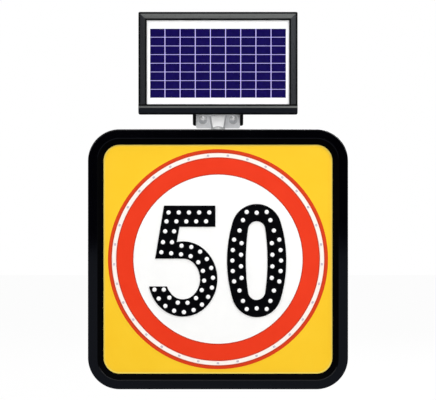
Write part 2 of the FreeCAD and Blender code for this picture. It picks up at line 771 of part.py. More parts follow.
def post_nuts():
    """T-nuts in the rails' slots: a broad foot behind the lips and a neck that is flush with them."""
    nuts = []
    for x in (-BOLT_SPACING_X / 2, BOLT_SPACING_X / 2):
        for z in rail_levels():
            half = TNUT_WIDTH / 2
            neck = RAIL_SLOT / 2 - TNUT_GAP
            foot = RAIL_HEIGHT / 2 - RAIL_WALL - TNUT_GAP
            nut = block(x - half, x + half, -RAIL_LIP, 0, z - neck, z + neck)
            nut = nut.fuse(block(x - half, x + half, -RAIL_LIP - TNUT_THICKNESS, -RAIL_LIP, z - foot, z + foot))
            hole = rod_y(POST_HOLE_R, x, z, -RAIL_LIP - TNUT_THICKNESS, 0)
            nuts.append(nut.removeSplitter().cut(hole))
    return group(nuts)


def rail_bolts():
    """Flanged bolts in the rails' channels: they pass the web and the case, and their nuts sit inside."""
    seat = Y_CASE_REAR + RAIL_WALL
    grip = RAIL_WALL + CASE_WALL + RAIL_NUT_HEIGHT + 1.0
    return group([screw_y(x, z, RAIL_BOLT_R, RAIL_BOLT_HEAD_R, RAIL_BOLT_HEAD, seat, grip)
                  for x, z in rail_bolt_places()])


def rail_nuts():
    nuts = []
    for x, z in rail_bolt_places():
        nut = hexagon_y(CLAMP_HEAD_AF, x, z, Y_CASE_FLOOR - RAIL_NUT_HEIGHT, Y_CASE_FLOOR)
        nuts.append(nut.cut(rod_y(RAIL_BOLT_R + THREAD_GAP, x, z, Y_CASE_FLOOR - RAIL_NUT_HEIGHT, Y_CASE_FLOOR)))
    return group(nuts)


def hatch_outline(margin):
    """The hatch's outline, or the opening that it closes when the margin is negative."""
    return rounded_rectangle(HATCH_WIDTH + 2 * margin, HATCH_HEIGHT + 2 * margin, HATCH_CORNER_R + min(margin, 0) / 3,
                             0, HATCH_Z)


def hatch_screw_places():
    reach = HATCH_WIDTH / 2 - HATCH_MARGIN / 2
    return (-reach, reach)


def hatch_gasket():
    y1 = Y_CASE_REAR + HATCH_GASKET
    ring = prism_y(hatch_outline(0.0), Y_CASE_REAR, y1).cut(prism_y(hatch_outline(-HATCH_MARGIN), Y_CASE_REAR, y1))
    return ring.cut([rod_y(SCREW_R + SCREW_CLEARANCE, x, HATCH_Z, Y_CASE_REAR, y1) for x in hatch_screw_places()])


def battery_hatch():
    y0 = Y_CASE_REAR + HATCH_GASKET
    plate = prism_y(hatch_outline(0.0), y0, y0 + HATCH_THICKNESS)
    holes = [rod_y(SCREW_R + SCREW_CLEARANCE, x, HATCH_Z, y0, y0 + HATCH_THICKNESS) for x in hatch_screw_places()]
    return plate.cut(holes)


def hatch_screws():
    seat = Y_CASE_REAR + HATCH_GASKET + HATCH_THICKNESS
    grip = HATCH_GASKET + HATCH_THICKNESS + HATCH_SCREW_GRIP
    return group([screw_y(x, HATCH_Z, SCREW_R, SCREW_HEAD_R, SCREW_HEAD_HEIGHT, seat, grip)
                  for x in hatch_screw_places()])


def battery_span():
    rear = Y_CASE_REAR + HATCH_GASKET - TRAY_THICKNESS
    return rear - BATTERY_DEPTH, rear


def battery_tray():
    """A folded tray on the hatch's inner side, with a lip above and below the battery."""
    front, rear = battery_span()
    half_width = BATTERY_WIDTH / 2
    half_height = BATTERY_HEIGHT / 2
    tray = block(-half_width, half_width, rear - TRAY_LIP, rear + TRAY_THICKNESS,
                 HATCH_Z - half_height - TRAY_THICKNESS, HATCH_Z + half_height + TRAY_THICKNESS)
    return tray.cut(block(-half_width, half_width, rear - TRAY_LIP, rear, HATCH_Z - half_height, HATCH_Z + half_height))


def battery_pack():
    front, rear = battery_span()
    return block(-BATTERY_WIDTH / 2, BATTERY_WIDTH / 2, front, rear,
                 HATCH_Z - BATTERY_HEIGHT / 2, HATCH_Z + BATTERY_HEIGHT / 2)


def battery_strap():
    """A flat band over the battery, from one tray lip to the other."""
    front, rear = battery_span()
    t = STRAP_THICKNESS
    half = BATTERY_HEIGHT / 2 + TRAY_THICKNESS
    half_width = STRAP_WIDTH / 2
    strap = block(-half_width, half_width, front - t, rear - TRAY_LIP / 2, HATCH_Z - half - t, HATCH_Z + half + t)
    inner = block(-half_width, half_width, front, rear - TRAY_LIP / 2, HATCH_Z - half, HATCH_Z + half)
    return strap.cut(inner)


def standoff_places():
    dx = CONTROLLER_WIDTH / 2 - STANDOFF_INSET
    dz = CONTROLLER_HEIGHT / 2 - STANDOFF_INSET
    return [(CONTROLLER_X + i * dx, CONTROLLER_Z + k * dz) for i in (-1, 1) for k in (-1, 1)]


def board_standoffs():
    y1 = Y_CASE_FLOOR
    return group([regular_prism_y(6, STANDOFF_R, x, z, y1 - STANDOFF_HEIGHT, y1) for x, z in standoff_places()])


def controller_board():
    y1 = Y_CASE_FLOOR - STANDOFF_HEIGHT
    half_width = CONTROLLER_WIDTH / 2
    half_height = CONTROLLER_HEIGHT / 2
    return block(CONTROLLER_X - half_width, CONTROLLER_X + half_width, y1 - LED_BOARD_THICKNESS, y1,
                 CONTROLLER_Z - half_height, CONTROLLER_Z + half_height)


def controller_parts():
    """What stands on the controller board: a terminal strip, a finned cooler, a relay and two capacitors."""
    y1 = Y_CASE_FLOOR - STANDOFF_HEIGHT - LED_BOARD_THICKNESS
    left = CONTROLLER_X - CONTROLLER_WIDTH / 2 + PARTS_MARGIN
    right = CONTROLLER_X + CONTROLLER_WIDTH / 2 - PARTS_MARGIN
    low = CONTROLLER_Z - CONTROLLER_HEIGHT / 2 + TERMINAL_DEPTH / 2
    terminals = block(left, right, y1 - TERMINAL_HEIGHT, y1, low, low + TERMINAL_DEPTH)
    cooler = block(left, left + COOLER_WIDTH, y1 - COOLER_HEIGHT, y1, CONTROLLER_Z, CONTROLLER_Z + COOLER_DEPTH)
    fin = COOLER_DEPTH / (2 * COOLER_SLOTS + 1)
    slots = [block(left, left + COOLER_WIDTH, y1 - COOLER_HEIGHT, y1 - fin,
                   CONTROLLER_Z + (2 * i + 1) * fin, CONTROLLER_Z + (2 * i + 2) * fin) for i in range(COOLER_SLOTS)]
    relay = block(CONTROLLER_X, CONTROLLER_X + RELAY_WIDTH, y1 - RELAY_HEIGHT, y1,
                  CONTROLLER_Z, CONTROLLER_Z + RELAY_WIDTH)
    cans = [rod_y(CAN_R, right - CAN_R, CONTROLLER_Z + dz, y1 - RELAY_HEIGHT, y1) for dz in (CAN_R, 4 * CAN_R)]
    return group([terminals, cooler.cut(slots), relay] + cans)


def cable_gland():
    """A threaded spigot through the case, a hexagon, a dome nut and a bore for the cable."""
    y0 = Y_CASE_REAR
    gland = rod_y(GLAND_THREAD_R, GLAND_X, GLAND_Z, Y_CASE_FLOOR - CASE_WALL, y0)
    gland = gland.fuse(hexagon_y(2 * GLAND_R, GLAND_X, GLAND_Z, y0, y0 + GLAND_LENGTH / 2))
    gland = gland.fuse(regular_prism_y(12, GLAND_R - 1, GLAND_X, GLAND_Z, y0 + GLAND_LENGTH / 2, y0 + GLAND_LENGTH))
    return gland.cut(rod_y(GLAND_BORE_R, GLAND_X, GLAND_Z, Y_CASE_FLOOR - CASE_WALL, y0 + GLAND_LENGTH))


def vent_plug():
    return hexagon_y(2 * VENT_R, VENT_X, GLAND_Z, Y_CASE_REAR, Y_CASE_REAR + VENT_HEIGHT)


def mast_stub():
    """A tube welded through a base plate that lies under the case's top wall."""
    under = Z_TOP - CASE_WALL - SEAL_THICKNESS
    plate = block(-BASE_WIDTH / 2, BASE_WIDTH / 2, Y_MAST - BASE_DEPTH / 2, Y_MAST + BASE_DEPTH / 2,
                  under - BASE_THICKNESS, under)
    low = under - BASE_THICKNESS - MAST_TAIL
    tube = rod_z(MAST_R, 0, Y_MAST, low, Z_TOP + MAST_TOP)
    holes = [rod_z(MAST_SCREW_R + THREAD_GAP, x, Y_MAST, under - BASE_THICKNESS, under)
             for x in mast_screw_places()]
    stub = plate.fuse(tube).cut(holes)
    return stub.cut(rod_z(MAST_R - MAST_WALL, 0, Y_MAST, low, Z_TOP + MAST_TOP)).removeSplitter()


def mast_screw_places():
    return (-MAST_SCREW_X, MAST_SCREW_X)


def mast_screws():
    """Countersunk screws, flush with the case's top, down into the base plate. The clamp swings over them."""
    end = Z_TOP - CASE_WALL - SEAL_THICKNESS - BASE_THICKNESS
    return group([countersunk_z(x, MAST_SCREW_R, MAST_HEAD_R, end) for x in mast_screw_places()])


def countersunk_z(x, r, head_r, end):
    """A countersunk shape from the case's top down to a level: a cone as deep as the head, and a shank."""
    head = Part.makeCone(r, head_r, MAST_HEAD, vec(x, Y_MAST, Z_TOP - MAST_HEAD), Z_AXIS)
    return rod_z(r, x, Y_MAST, end, Z_TOP - MAST_HEAD).fuse(head).removeSplitter()


def mast_seal():
    """A flat gasket between the base plate and the case's top wall."""
    top = Z_TOP - CASE_WALL
    seal = block(-BASE_WIDTH / 2, BASE_WIDTH / 2, Y_MAST - BASE_DEPTH / 2, Y_MAST + BASE_DEPTH / 2,
                 top - SEAL_THICKNESS, top)
    holes = [rod_z(MAST_SCREW_R + SCREW_CLEARANCE, x, Y_MAST, top - SEAL_THICKNESS, top)
             for x in mast_screw_places()]
    holes.append(rod_z(MAST_R + MAST_HOLE_GAP, 0, Y_MAST, top - SEAL_THICKNESS, top))
    return seal.cut(holes)


def mast_cap():
    top = Z_TOP + MAST_TOP
    plug = rod_z(MAST_R - MAST_WALL - CAP_GAP, 0, Y_MAST, top - CAP_DEPTH, top)
    return plug.fuse(rod_z(MAST_R, 0, Y_MAST, top, top + CAP_HEIGHT)).removeSplitter()


def clamp_bore():
    return rod_z(MAST_R + CLAMP_FIT, 0, Y_MAST, Z_PIVOT - CLAMP_HEIGHT, Z_PIVOT + CLAMP_HEIGHT)


def tapered_boss(y0, y1, low, high):
    """A boss with flat sloping sides: its front outline, and a base that its sides widen to by the draft."""
    front_low = low + BOSS_BOTTOM_RISE
    front_high = high - BOSS_TOP_DROP
    lean = (BOSS_TOP_HALF - BOSS_BOTTOM_HALF) / (front_high - front_low)
    low_half = BOSS_BOTTOM_HALF - lean * BOSS_BOTTOM_RISE + BOSS_DRAFT
    high_half = BOSS_TOP_HALF + lean * BOSS_TOP_DROP + BOSS_DRAFT
    front = [(-BOSS_BOTTOM_HALF, front_low), (BOSS_BOTTOM_HALF, front_low),
             (BOSS_TOP_HALF, front_high), (-BOSS_TOP_HALF, front_high)]
    base = [(-low_half, low), (low_half, low), (high_half, high), (-high_half, high)]
    a = [vec(x, y0, z) for x, z in front]
    b = [vec(x, y1, z) for x, z in base]
    faces = [polygon_face(a), polygon_face(b)]
    faces += [polygon_face([a[i - 1], a[i], b[i], b[i - 1]]) for i in range(4)]
    return Part.Solid(Part.Shell(faces))


def front_saddle():
    """The grey clamp half that shows: a plate with an arched, tapered boss round the mast, and side flanges."""
    y1 = Y_MAST - CLAMP_SPLIT / 2
    y0 = y1 - CLAMP_PLATE
    low = Z_PIVOT - CLAMP_HEIGHT / 2
    high = Z_PIVOT + CLAMP_HEIGHT / 2
    half = CLAMP_WIDTH / 2
    saddle = prism_y(rounded_rectangle(CLAMP_WIDTH, CLAMP_HEIGHT, CLAMP_CORNER_R, 0, Z_PIVOT), y0, y1)
    saddle = saddle.fuse(tapered_boss(Y_MAST - BOSS_FRONT, y1, low, high - BOSS_DROP))
    for x in (-half, half - CLAMP_PLATE):
        flange = block(x, x + CLAMP_PLATE, y1 - CLAMP_PLATE, Y_PIVOT, Z_PIVOT - FLANGE_R, Z_PIVOT + FLANGE_R)
        saddle = saddle.fuse(flange).fuse(rod_x(FLANGE_R, x, x + CLAMP_PLATE, Y_PIVOT, Z_PIVOT))
    holes = [rod_y(CLAMP_BOLT_R + BOLT_GAP, x, Z_PIVOT, y0, y1) for x in (-CLAMP_BOLT_X, CLAMP_BOLT_X)]
    holes.append(rod_x(TILT_BOLT_R + THREAD_GAP, -half, half, Y_PIVOT, Z_PIVOT))
    holes.append(clamp_bore())
    holes.append(rod_y(ARCH_R, 0, low + ARCH_RISE - ARCH_R, Y_MAST - BOSS_FRONT, y0))
    return saddle.cut(holes).removeSplitter()


def rear_saddle():
    """The clamp's other half: a flat strap pressed round the back of the mast."""
    y0 = Y_MAST + CLAMP_SPLIT / 2
    low = Z_PIVOT - SADDLE_HEIGHT / 2
    high = Z_PIVOT + SADDLE_HEIGHT / 2
    half = SADDLE_WIDTH / 2
    strap = block(-half, half, y0, y0 + CLAMP_PLATE, low, high)
    shell = rod_z(MAST_R + SADDLE_WALL, 0, Y_MAST, low, high)
    front = block(-half, half, Y_MAST - 2 * MAST_R, y0, low, high)
    strap = strap.fuse(shell.cut(front))
    holes = [rod_y(CLAMP_BOLT_R + BOLT_GAP, x, Z_PIVOT, y0, y0 + CLAMP_PLATE) for x in (-CLAMP_BOLT_X, CLAMP_BOLT_X)]
    return strap.cut(holes + [clamp_bore()]).removeSplitter()


def clamp_bolts():
    """Hexagon bolts with broad washers under their heads, from the front plate to past the rear nuts."""
    seat = Y_MAST - CLAMP_SPLIT / 2 - CLAMP_PLATE
    end = Y_MAST + CLAMP_SPLIT / 2 + CLAMP_PLATE + CLAMP_NUT + CLAMP_BOLT_SPARE
    bolts = []
    for x in (-CLAMP_BOLT_X, CLAMP_BOLT_X):
        bolt = rod_y(CLAMP_WASHER_R, x, Z_PIVOT, seat - CLAMP_WASHER, seat)
        bolt = bolt.fuse(hexagon_y(CLAMP_HEAD_AF, x, Z_PIVOT, seat - CLAMP_WASHER - CLAMP_HEAD, seat - CLAMP_WASHER))
        bolts.append(bolt.fuse(rod_y(CLAMP_BOLT_R, x, Z_PIVOT, seat, end)))
    return group(bolts)


def clamp_nuts():
    y0 = Y_MAST + CLAMP_SPLIT / 2 + CLAMP_PLATE
    nuts = []
    for x in (-CLAMP_BOLT_X, CLAMP_BOLT_X):
        nut = hexagon_y(CLAMP_HEAD_AF, x, Z_PIVOT, y0, y0 + CLAMP_NUT)
        nuts.append(nut.cut(rod_y(CLAMP_BOLT_R + THREAD_GAP, x, Z_PIVOT, y0, y0 + CLAMP_NUT)))
    return group(nuts)


def ear_faces():
    """Where the bracket's ears start and end along X, outside the clamp's flanges."""
    inner = CLAMP_WIDTH / 2 + EAR_GAP
    return inner, inner + EAR_THICKNESS


def tilt_bolt_shape(gap):
    """The two countersunk tilt bolts, flush with the ears. The gap widens them into their holes."""
    inner, outer = ear_faces()
    r = TILT_BOLT_R + gap
    start = inner - EAR_GAP - CLAMP_PLATE
    bolts = []
    for side in (-1, 1):
        axis = vec(side, 0, 0)
        shank = Part.makeCylinder(r, outer - start, vec(side * start, Y_PIVOT, Z_PIVOT), axis)
        cone_start = vec(side * (outer - TILT_HEAD), Y_PIVOT, Z_PIVOT)
        head = Part.makeCone(r, TILT_HEAD_R + gap, TILT_HEAD, cone_start, axis)
        bolts.append(shank.fuse(head).removeSplitter())
    return bolts


def tilt_bolts():
    return group(tilt_bolt_shape(0.0))


def tangent_point(p, r, side):
    """Where a line from p touches the circle of radius r about the pivot, seen along X."""
    dy = p[0] - Y_PIVOT
    dz = p[1] - Z_PIVOT
    turn = math.atan2(dz, dy) + side * math.acos(r / math.hypot(dy, dz))
    return Y_PIVOT + r * math.cos(turn), Z_PIVOT + r * math.sin(turn)


def ear_eye(side):
    """The round end of an ear, chamfered on its outer side."""
    inner, outer = ear_faces()
    axis = vec(side, 0, 0)
    straight = EAR_THICKNESS - EAR_CHAMFER
    disc = Part.makeCylinder(FLANGE_R, straight, vec(side * inner, Y_PIVOT, Z_PIVOT), axis)
    rim = vec(side * (inner + straight), Y_PIVOT, Z_PIVOT)
    return disc.fuse(Part.makeCone(FLANGE_R, FLANGE_R - EAR_CHAMFER, EAR_CHAMFER, rim, axis))


def panel_bracket():
    """One black casting: a cross plate on the panel's bottom rail and two ears down to the tilt bolts."""
    inner, outer = ear_faces()
    back = Y_PANEL_BACK
    top = Z_PANEL + BRACKET_HEIGHT
    bracket = block(-outer, outer, back, back + BRACKET_PLATE, Z_PANEL, top)
    foot = (back, Z_PANEL)
    head = (back + BRACKET_PLATE, top)
    outline = [foot, tangent_point(foot, FLANGE_R, 1), tangent_point(head, FLANGE_R, -1), head, (back, top)]
    for x in (-outer, inner):
        web = polygon_face([vec(x, y, z) for y, z in outline]).extrude(vec(EAR_THICKNESS, 0, 0))
        bracket = bracket.fuse(web).fuse(ear_eye(math.copysign(1, x)))
    z = Z_PANEL + BRACKET_SCREW_RISE
    holes = [rod_y(BRACKET_SCREW_R + SCREW_CLEARANCE, x, z, back, back + BRACKET_PLATE)
             for x in (-BRACKET_SCREW_X, BRACKET_SCREW_X)]
    return bracket.cut(holes + tilt_bolt_shape(PIN_FIT)).removeSplitter()


def bracket_screws():
    seat = Y_PANEL_BACK + BRACKET_PLATE
    z = Z_PANEL + BRACKET_SCREW_RISE
    return group([screw_y(x, z, BRACKET_SCREW_R, SCREW_HEAD_R + 1, SCREW_HEAD_HEIGHT, seat,
                          BRACKET_PLATE + BRACKET_SCREW_GRIP) for x in (-BRACKET_SCREW_X, BRACKET_SCREW_X)])


def frame_profile(width):
    """The extrusion's section as (distance in from the panel's edge, depth from its front): a broad bevel that
    falls to the edge, a crest, a short bevel to the lip, a groove for the glass and a channel with a flange."""
    groove = FRAME_LIP + GLASS_THICKNESS + CELL_THICKNESS + BACKSHEET_THICKNESS + LAMINATE_GAP
    return [
        (0, PANEL_DEPTH), (0, FRAME_BEVEL), (width - FRAME_CREST, 0), (width - FRAME_STEP, FRAME_STEP_DEPTH),
        (width, FRAME_STEP_DEPTH), (width, FRAME_LIP),
        (width - FRAME_HOLD, FRAME_LIP), (width - FRAME_HOLD, groove), (width - FRAME_WALL, groove),
        (width - FRAME_WALL, groove + FRAME_JAW), (FRAME_WALL, groove + FRAME_JAW),
        (FRAME_WALL, PANEL_DEPTH - FRAME_JAW), (FRAME_FLANGE, PANEL_DEPTH - FRAME_JAW), (FRAME_FLANGE, PANEL_DEPTH),
    ]


def panel_outline():
    return rounded_rectangle(PANEL_WIDTH, PANEL_HEIGHT, PANEL_CORNER_R, 0, Z_PANEL + PANEL_HEIGHT / 2)


def rounded_by_panel(rail):
    return rail.common(prism_y(panel_outline(), Y_PANEL, Y_PANEL_BACK))


def panel_rail_top():
    """The top rail, mitred at both ends against the side rails."""
    half = PANEL_WIDTH / 2
    top = Z_PANEL + PANEL_HEIGHT
    face = polygon_face([vec(-half, Y_PANEL + v, top - u) for u, v in frame_profile(FRAME_SIDE)])
    rail = face.extrude(vec(PANEL_WIDTH, 0, 0))
    return rounded_by_panel(rail.common(mitre_wedge()))


def mitre_wedge():
    """The region above the two 45 degree mitre lines of the top corners."""
    half = PANEL_WIDTH / 2
    top = Z_PANEL + PANEL_HEIGHT
    points = [vec(-half, 0, top), vec(half, 0, top), vec(0, 0, top - half)]
    return prism_y(polygon_face(points), Y_PANEL, Y_PANEL_BACK)


def panel_rail_side(side):
    """A side rail: it stands on the bottom rail and is mitred under the top rail."""
    edge = side * PANEL_WIDTH / 2
    z0 = Z_PANEL + FRAME_BOTTOM
    face = polygon_face([vec(edge - side * u, Y_PANEL + v, z0) for u, v in frame_profile(FRAME_SIDE)])
    rail = face.extrude(vec(0, 0, PANEL_HEIGHT - FRAME_BOTTOM))
    return rounded_by_panel(rail.cut(mitre_wedge()))


def panel_rail_bottom():
    """The bottom rail: broader than the others, and as long as the panel. Its flange carries the bracket."""
    half = PANEL_WIDTH / 2
    face = polygon_face([vec(-half, Y_PANEL + v, Z_PANEL + u) for u, v in frame_profile(FRAME_BOTTOM)])
    rail = rounded_by_panel(face.extrude(vec(PANEL_WIDTH, 0, 0)))
    z = Z_PANEL + BRACKET_SCREW_RISE
    holes = [rod_y(BRACKET_SCREW_R + THREAD_GAP, x, z, Y_PANEL_BACK - FRAME_JAW, Y_PANEL_BACK)
             for x in (-BRACKET_SCREW_X, BRACKET_SCREW_X)]
    return rail.cut(holes)


def corner_keys():
    """Angle pieces in the rails' channels, one in each corner."""
    groove = FRAME_LIP + GLASS_THICKNESS + CELL_THICKNESS + BACKSHEET_THICKNESS + LAMINATE_GAP + FRAME_JAW
    y0 = Y_PANEL + groove + KEY_GAP
    y1 = Y_PANEL_BACK - FRAME_JAW - KEY_GAP
    inset = FRAME_WALL + KEY_GAP
    keys = []
    for side in (-1, 1):
        for z_edge, up in ((Z_PANEL, 1), (Z_PANEL + PANEL_HEIGHT, -1)):
            x = side * (PANEL_WIDTH / 2 - inset)
            z = z_edge + up * inset
            legs = [(x, z), (x - side * KEY_LEG, z), (x - side * KEY_LEG, z + up * KEY_WIDTH),
                    (x - side * KEY_WIDTH, z + up * KEY_WIDTH), (x - side * KEY_WIDTH, z + up * KEY_LEG),
                    (x, z + up * KEY_LEG)]
            keys.append(prism_y(polygon_face([vec(px, 0, pz) for px, pz in legs]), y0, y1))
    return group(keys)


def laminate(y0, thickness):
    """A sheet of the panel's laminate: it ends a gap short of the groove's floor on all sides."""
    half = PANEL_WIDTH / 2 - FRAME_SIDE + FRAME_HOLD - LAMINATE_GAP
    low = Z_PANEL + FRAME_BOTTOM - FRAME_HOLD + LAMINATE_GAP
    high = Z_PANEL + PANEL_HEIGHT - FRAME_SIDE + FRAME_HOLD - LAMINATE_GAP
    return block(-half, half, y0, y0 + thickness, low, high)


def y_cells():
    return Y_PANEL + FRAME_LIP + GLASS_THICKNESS


def panel_glass():
    return laminate(Y_PANEL + FRAME_LIP, GLASS_THICKNESS)


def backsheet():
    return laminate(y_cells() + CELL_THICKNESS, BACKSHEET_THICKNESS)


def solar_cells():
    """A grid of thin cells between the glass and the back sheet."""
    width = CELL_COLUMNS * CELL_PITCH_X - CELL_GAP_X
    height = CELL_ROWS * CELL_PITCH_Z - CELL_GAP_Z
    x0 = -width / 2
    z0 = Z_PANEL + CELL_FIELD_RISE - height / 2
    y0 = y_cells()
    cells = []
    for i in range(CELL_COLUMNS):
        for k in range(CELL_ROWS):
            x = x0 + i * CELL_PITCH_X
            z = z0 + k * CELL_PITCH_Z
            cells.append(block(x, x + CELL_PITCH_X - CELL_GAP_X, y0, y0 + CELL_THICKNESS,
                               z, z + CELL_PITCH_Z - CELL_GAP_Z))
    return group(cells)


def box_middle():
    return Z_PANEL + PANEL_HEIGHT - BOX_DROP - BOX_HEIGHT / 2


def box_outline(inset):
    return rounded_rectangle(BOX_WIDTH - 2 * inset, BOX_HEIGHT - 2 * inset, BOX_CORNER_R - inset, 0, box_middle())


def y_box():
    return y_cells() + CELL_THICKNESS + BACKSHEET_THICKNESS


def junction_box():
    """A shallow moulded tray glued to the back sheet, with a hole below for its gland."""
    y0 = y_box()
    tray = prism_y(box_outline(0.0), y0, y0 + BOX_DEPTH)
    tray = tray.cut(prism_y(box_outline(BOX_WALL), y0 + BOX_WALL, y0 + BOX_DEPTH))
    low = box_middle() - BOX_HEIGHT / 2
    hole = rod_z(BOX_GLAND_R - 1 + THREAD_GAP, 0, y0 + BOX_DEPTH / 2 + 0.5, low, low + BOX_WALL)
    return tray.cut(hole)


def junction_lid():
    y0 = y_box() + BOX_DEPTH
    return prism_y(box_outline(0.0), y0, y0 + BOX_LID)


def junction_gland():
    y = y_box() + BOX_DEPTH / 2 + 0.5
    low = box_middle() - BOX_HEIGHT / 2
    gland = rod_z(BOX_GLAND_R, 0, y, low - BOX_GLAND_LENGTH, low)
    gland = gland.fuse(rod_z(BOX_GLAND_R - 1, 0, y, low, low + 2 * BOX_WALL)).removeSplitter()
    return gland.cut(rod_z(BOX_GLAND_R - 2, 0, y, low - BOX_GLAND_LENGTH, low + 2 * BOX_WALL))


def pieces():
    """Every piece by name."""
    return {
        "rear_case": rear_case(),
        "front_bezel": front_bezel(),
        "bezel_gasket": bezel_gasket(),
        "face_sheet": face_sheet(),
        "retaining_frame": retaining_frame(),
        "bezel_screws": bezel_screws(),
        "red_ring": red_ring(),
        "white_disc": white_disc(),
        "halo_strip": halo_strip(),
        "halo_leds": halo_leds(),
        "digit_five": digit_five(),
        "digit_zero": digit_zero(),
        "five_lamps": lamps(five_lamp_points()),
        "zero_lamps": lamps(zero_lamp_points()),
        "five_board": led_board(BOWL_X, FIVE_BOARD_WIDTH, FIVE_BOARD_HEIGHT),
        "zero_board": led_board(ZERO_X, ZERO_BOARD_WIDTH, ZERO_BOARD_HEIGHT),
        "controller_board": controller_board(),
        "controller_parts": controller_parts(),
        "board_standoffs": board_standoffs(),
        "battery_pack": battery_pack(),
        "battery_tray": battery_tray(),
        "battery_strap": battery_strap(),
        "battery_hatch": battery_hatch(),
        "hatch_gasket": hatch_gasket(),
        "hatch_screws": hatch_screws(),
        "cable_gland": cable_gland(),
        "vent_plug": vent_plug(),
        "lower_rail": mounting_rail(rail_levels()[0]),
        "upper_rail": mounting_rail(rail_levels()[1]),
        "post_nuts": post_nuts(),
        "rail_bolts": rail_bolts(),
        "rail_nuts": rail_nuts(),
        "mast_stub": mast_stub(),
        "mast_screws": mast_screws(),
        "mast_seal": mast_seal(),
        "mast_cap": mast_cap(),
        "front_saddle": front_saddle(),
        "rear_saddle": rear_saddle(),
        "clamp_bolts": clamp_bolts(),
        "clamp_nuts": clamp_nuts(),
        "tilt_bolts": tilt_bolts(),
        "panel_bracket": panel_bracket(),
        "bracket_screws": bracket_screws(),
        "panel_rail_top": panel_rail_top(),
        "panel_rail_bottom": panel_rail_bottom(),
        "panel_rail_left": panel_rail_side(-1),
        "panel_rail_right": panel_rail_side(1),
        "corner_keys": corner_keys(),
        "panel_glass": panel_glass(),
        "solar_cells": solar_cells(),
        "backsheet": backsheet(),
        "junction_box": junction_box(),
        "junction_lid": junction_lid(),
        "junction_gland": junction_gland(),
    }


def main():
    os.makedirs("parts", exist_ok=True)
    for name, shape in pieces().items():
        shape.exportStep(f"parts/{name}.step")
        print(f"{name}: valid {shape.isValid()}, {len(shape.Solids)} solids, {shape.Volume / 1000:.2f} cm3")


main()
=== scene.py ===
# %% [markdown]
# # A solar powered speed limit sign
# A square black housing carries a yellow face with a round red and white limit sign. The digits are black
# plates set with white lamps. A small solar panel stands on a clamp at the top of a short mast.
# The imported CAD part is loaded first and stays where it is. The looks are then built round it.

# %% Load the frame
import json
import math

import bmesh
import bpy
import numpy as np
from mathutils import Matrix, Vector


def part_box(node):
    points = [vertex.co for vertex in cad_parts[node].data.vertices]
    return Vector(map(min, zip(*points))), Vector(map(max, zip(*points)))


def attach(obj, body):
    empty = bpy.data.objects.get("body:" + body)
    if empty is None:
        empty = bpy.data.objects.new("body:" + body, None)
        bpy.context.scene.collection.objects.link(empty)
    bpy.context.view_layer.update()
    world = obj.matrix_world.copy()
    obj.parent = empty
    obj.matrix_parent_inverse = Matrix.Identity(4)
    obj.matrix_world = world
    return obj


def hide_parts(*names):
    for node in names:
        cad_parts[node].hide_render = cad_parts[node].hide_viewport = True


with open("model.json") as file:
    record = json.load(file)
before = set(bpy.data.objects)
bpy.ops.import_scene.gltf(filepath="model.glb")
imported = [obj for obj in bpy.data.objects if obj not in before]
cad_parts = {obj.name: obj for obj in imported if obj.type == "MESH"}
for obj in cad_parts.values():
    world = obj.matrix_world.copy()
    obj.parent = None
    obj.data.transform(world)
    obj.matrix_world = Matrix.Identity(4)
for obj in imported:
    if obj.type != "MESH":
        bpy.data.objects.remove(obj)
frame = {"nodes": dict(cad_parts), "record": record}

NODES = frame["nodes"]
BODY = {node: body for body, nodes in frame["record"]["behaviour"]["bodies"].items() for node in nodes}
MM = 0.001
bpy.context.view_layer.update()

# %% [markdown]
# ## The camera
# The photograph looks straight at the face from far away: the housing's two sides are equally wide and no
# side wall shows. A long lens does that. Its length follows from the image's width on the face: 436 pixels
# of 2.7273 mm each, because the 600 mm disc is 220 pixels wide. The disc's centre lies 59.15 pixels below the
# middle of the image, so the camera stands that much higher and looks level.

# %% Camera
PIXEL = 2.7273 * MM
IMAGE_WIDTH = 436
DISC_BELOW_MIDDLE = 59.15
DISTANCE = 5.0
SENSOR = 36.0

face_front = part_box("face_sheet")[0][1]
camera = bpy.data.objects.new("camera", bpy.data.cameras.new("camera"))
bpy.context.scene.collection.objects.link(camera)
bpy.context.scene.camera = camera
camera.location = (0, face_front - DISTANCE, DISC_BELOW_MIDDLE * PIXEL)
camera.rotation_euler = (math.pi / 2, 0, 0)
camera.data.sensor_width = SENSOR
camera.data.lens = SENSOR * DISTANCE / (IMAGE_WIDTH * PIXEL)
print("lens", round(camera.data.lens, 1), "mm at", DISTANCE, "m")

# %% [markdown]
# ## Two helpers for colours and nodes
# Colours are written as sRGB hex codes, as an image program shows them, and the shader wants linear light.
# One function turns a code into linear values, and one adds a node with its settings and links.

# %% Colour and node helpers
def linear(code):
    """An sRGB hex code as linear light: c / 12.92 when dark, else ((c + 0.055) / 1.055) to the power 2.4."""
    c = np.array([int(code[i:i + 2], 16) for i in (1, 3, 5)]) / 255
    light = np.where(c <= 0.04045, c / 12.92, ((c + 0.055) / 1.055) ** 2.4)
    return (*light.tolist(), 1.0)


def add(tree, kind, inputs=None, **settings):
    """Adds a node. Inputs are values, or another node's output, by the socket's name or number."""
    node = tree.nodes.new(kind)
    for key, value in settings.items():
        setattr(node, key, value)
    for key, value in (inputs or {}).items():
        if isinstance(value, bpy.types.NodeSocket):
            tree.links.new(value, node.inputs[key])
        else:
            node.inputs[key].default_value = value
    return node


print("middle grey is", round(linear("#808080")[0], 3), "of the light")

# %% [markdown]
# ## Studio lamps
# The photograph is a cut-out on white, lit from the upper right. A large soft lamp stands there, a weaker one
# fills from the left, one stands by the camera, one lights the rear and one the top. A square area lamp gives
# the soft shadows of a real softbox, where a point lamp would draw hard ones. The fill and the lamp by the
# camera don't show in mirrors, because the photograph's glossy bezel shows neither.

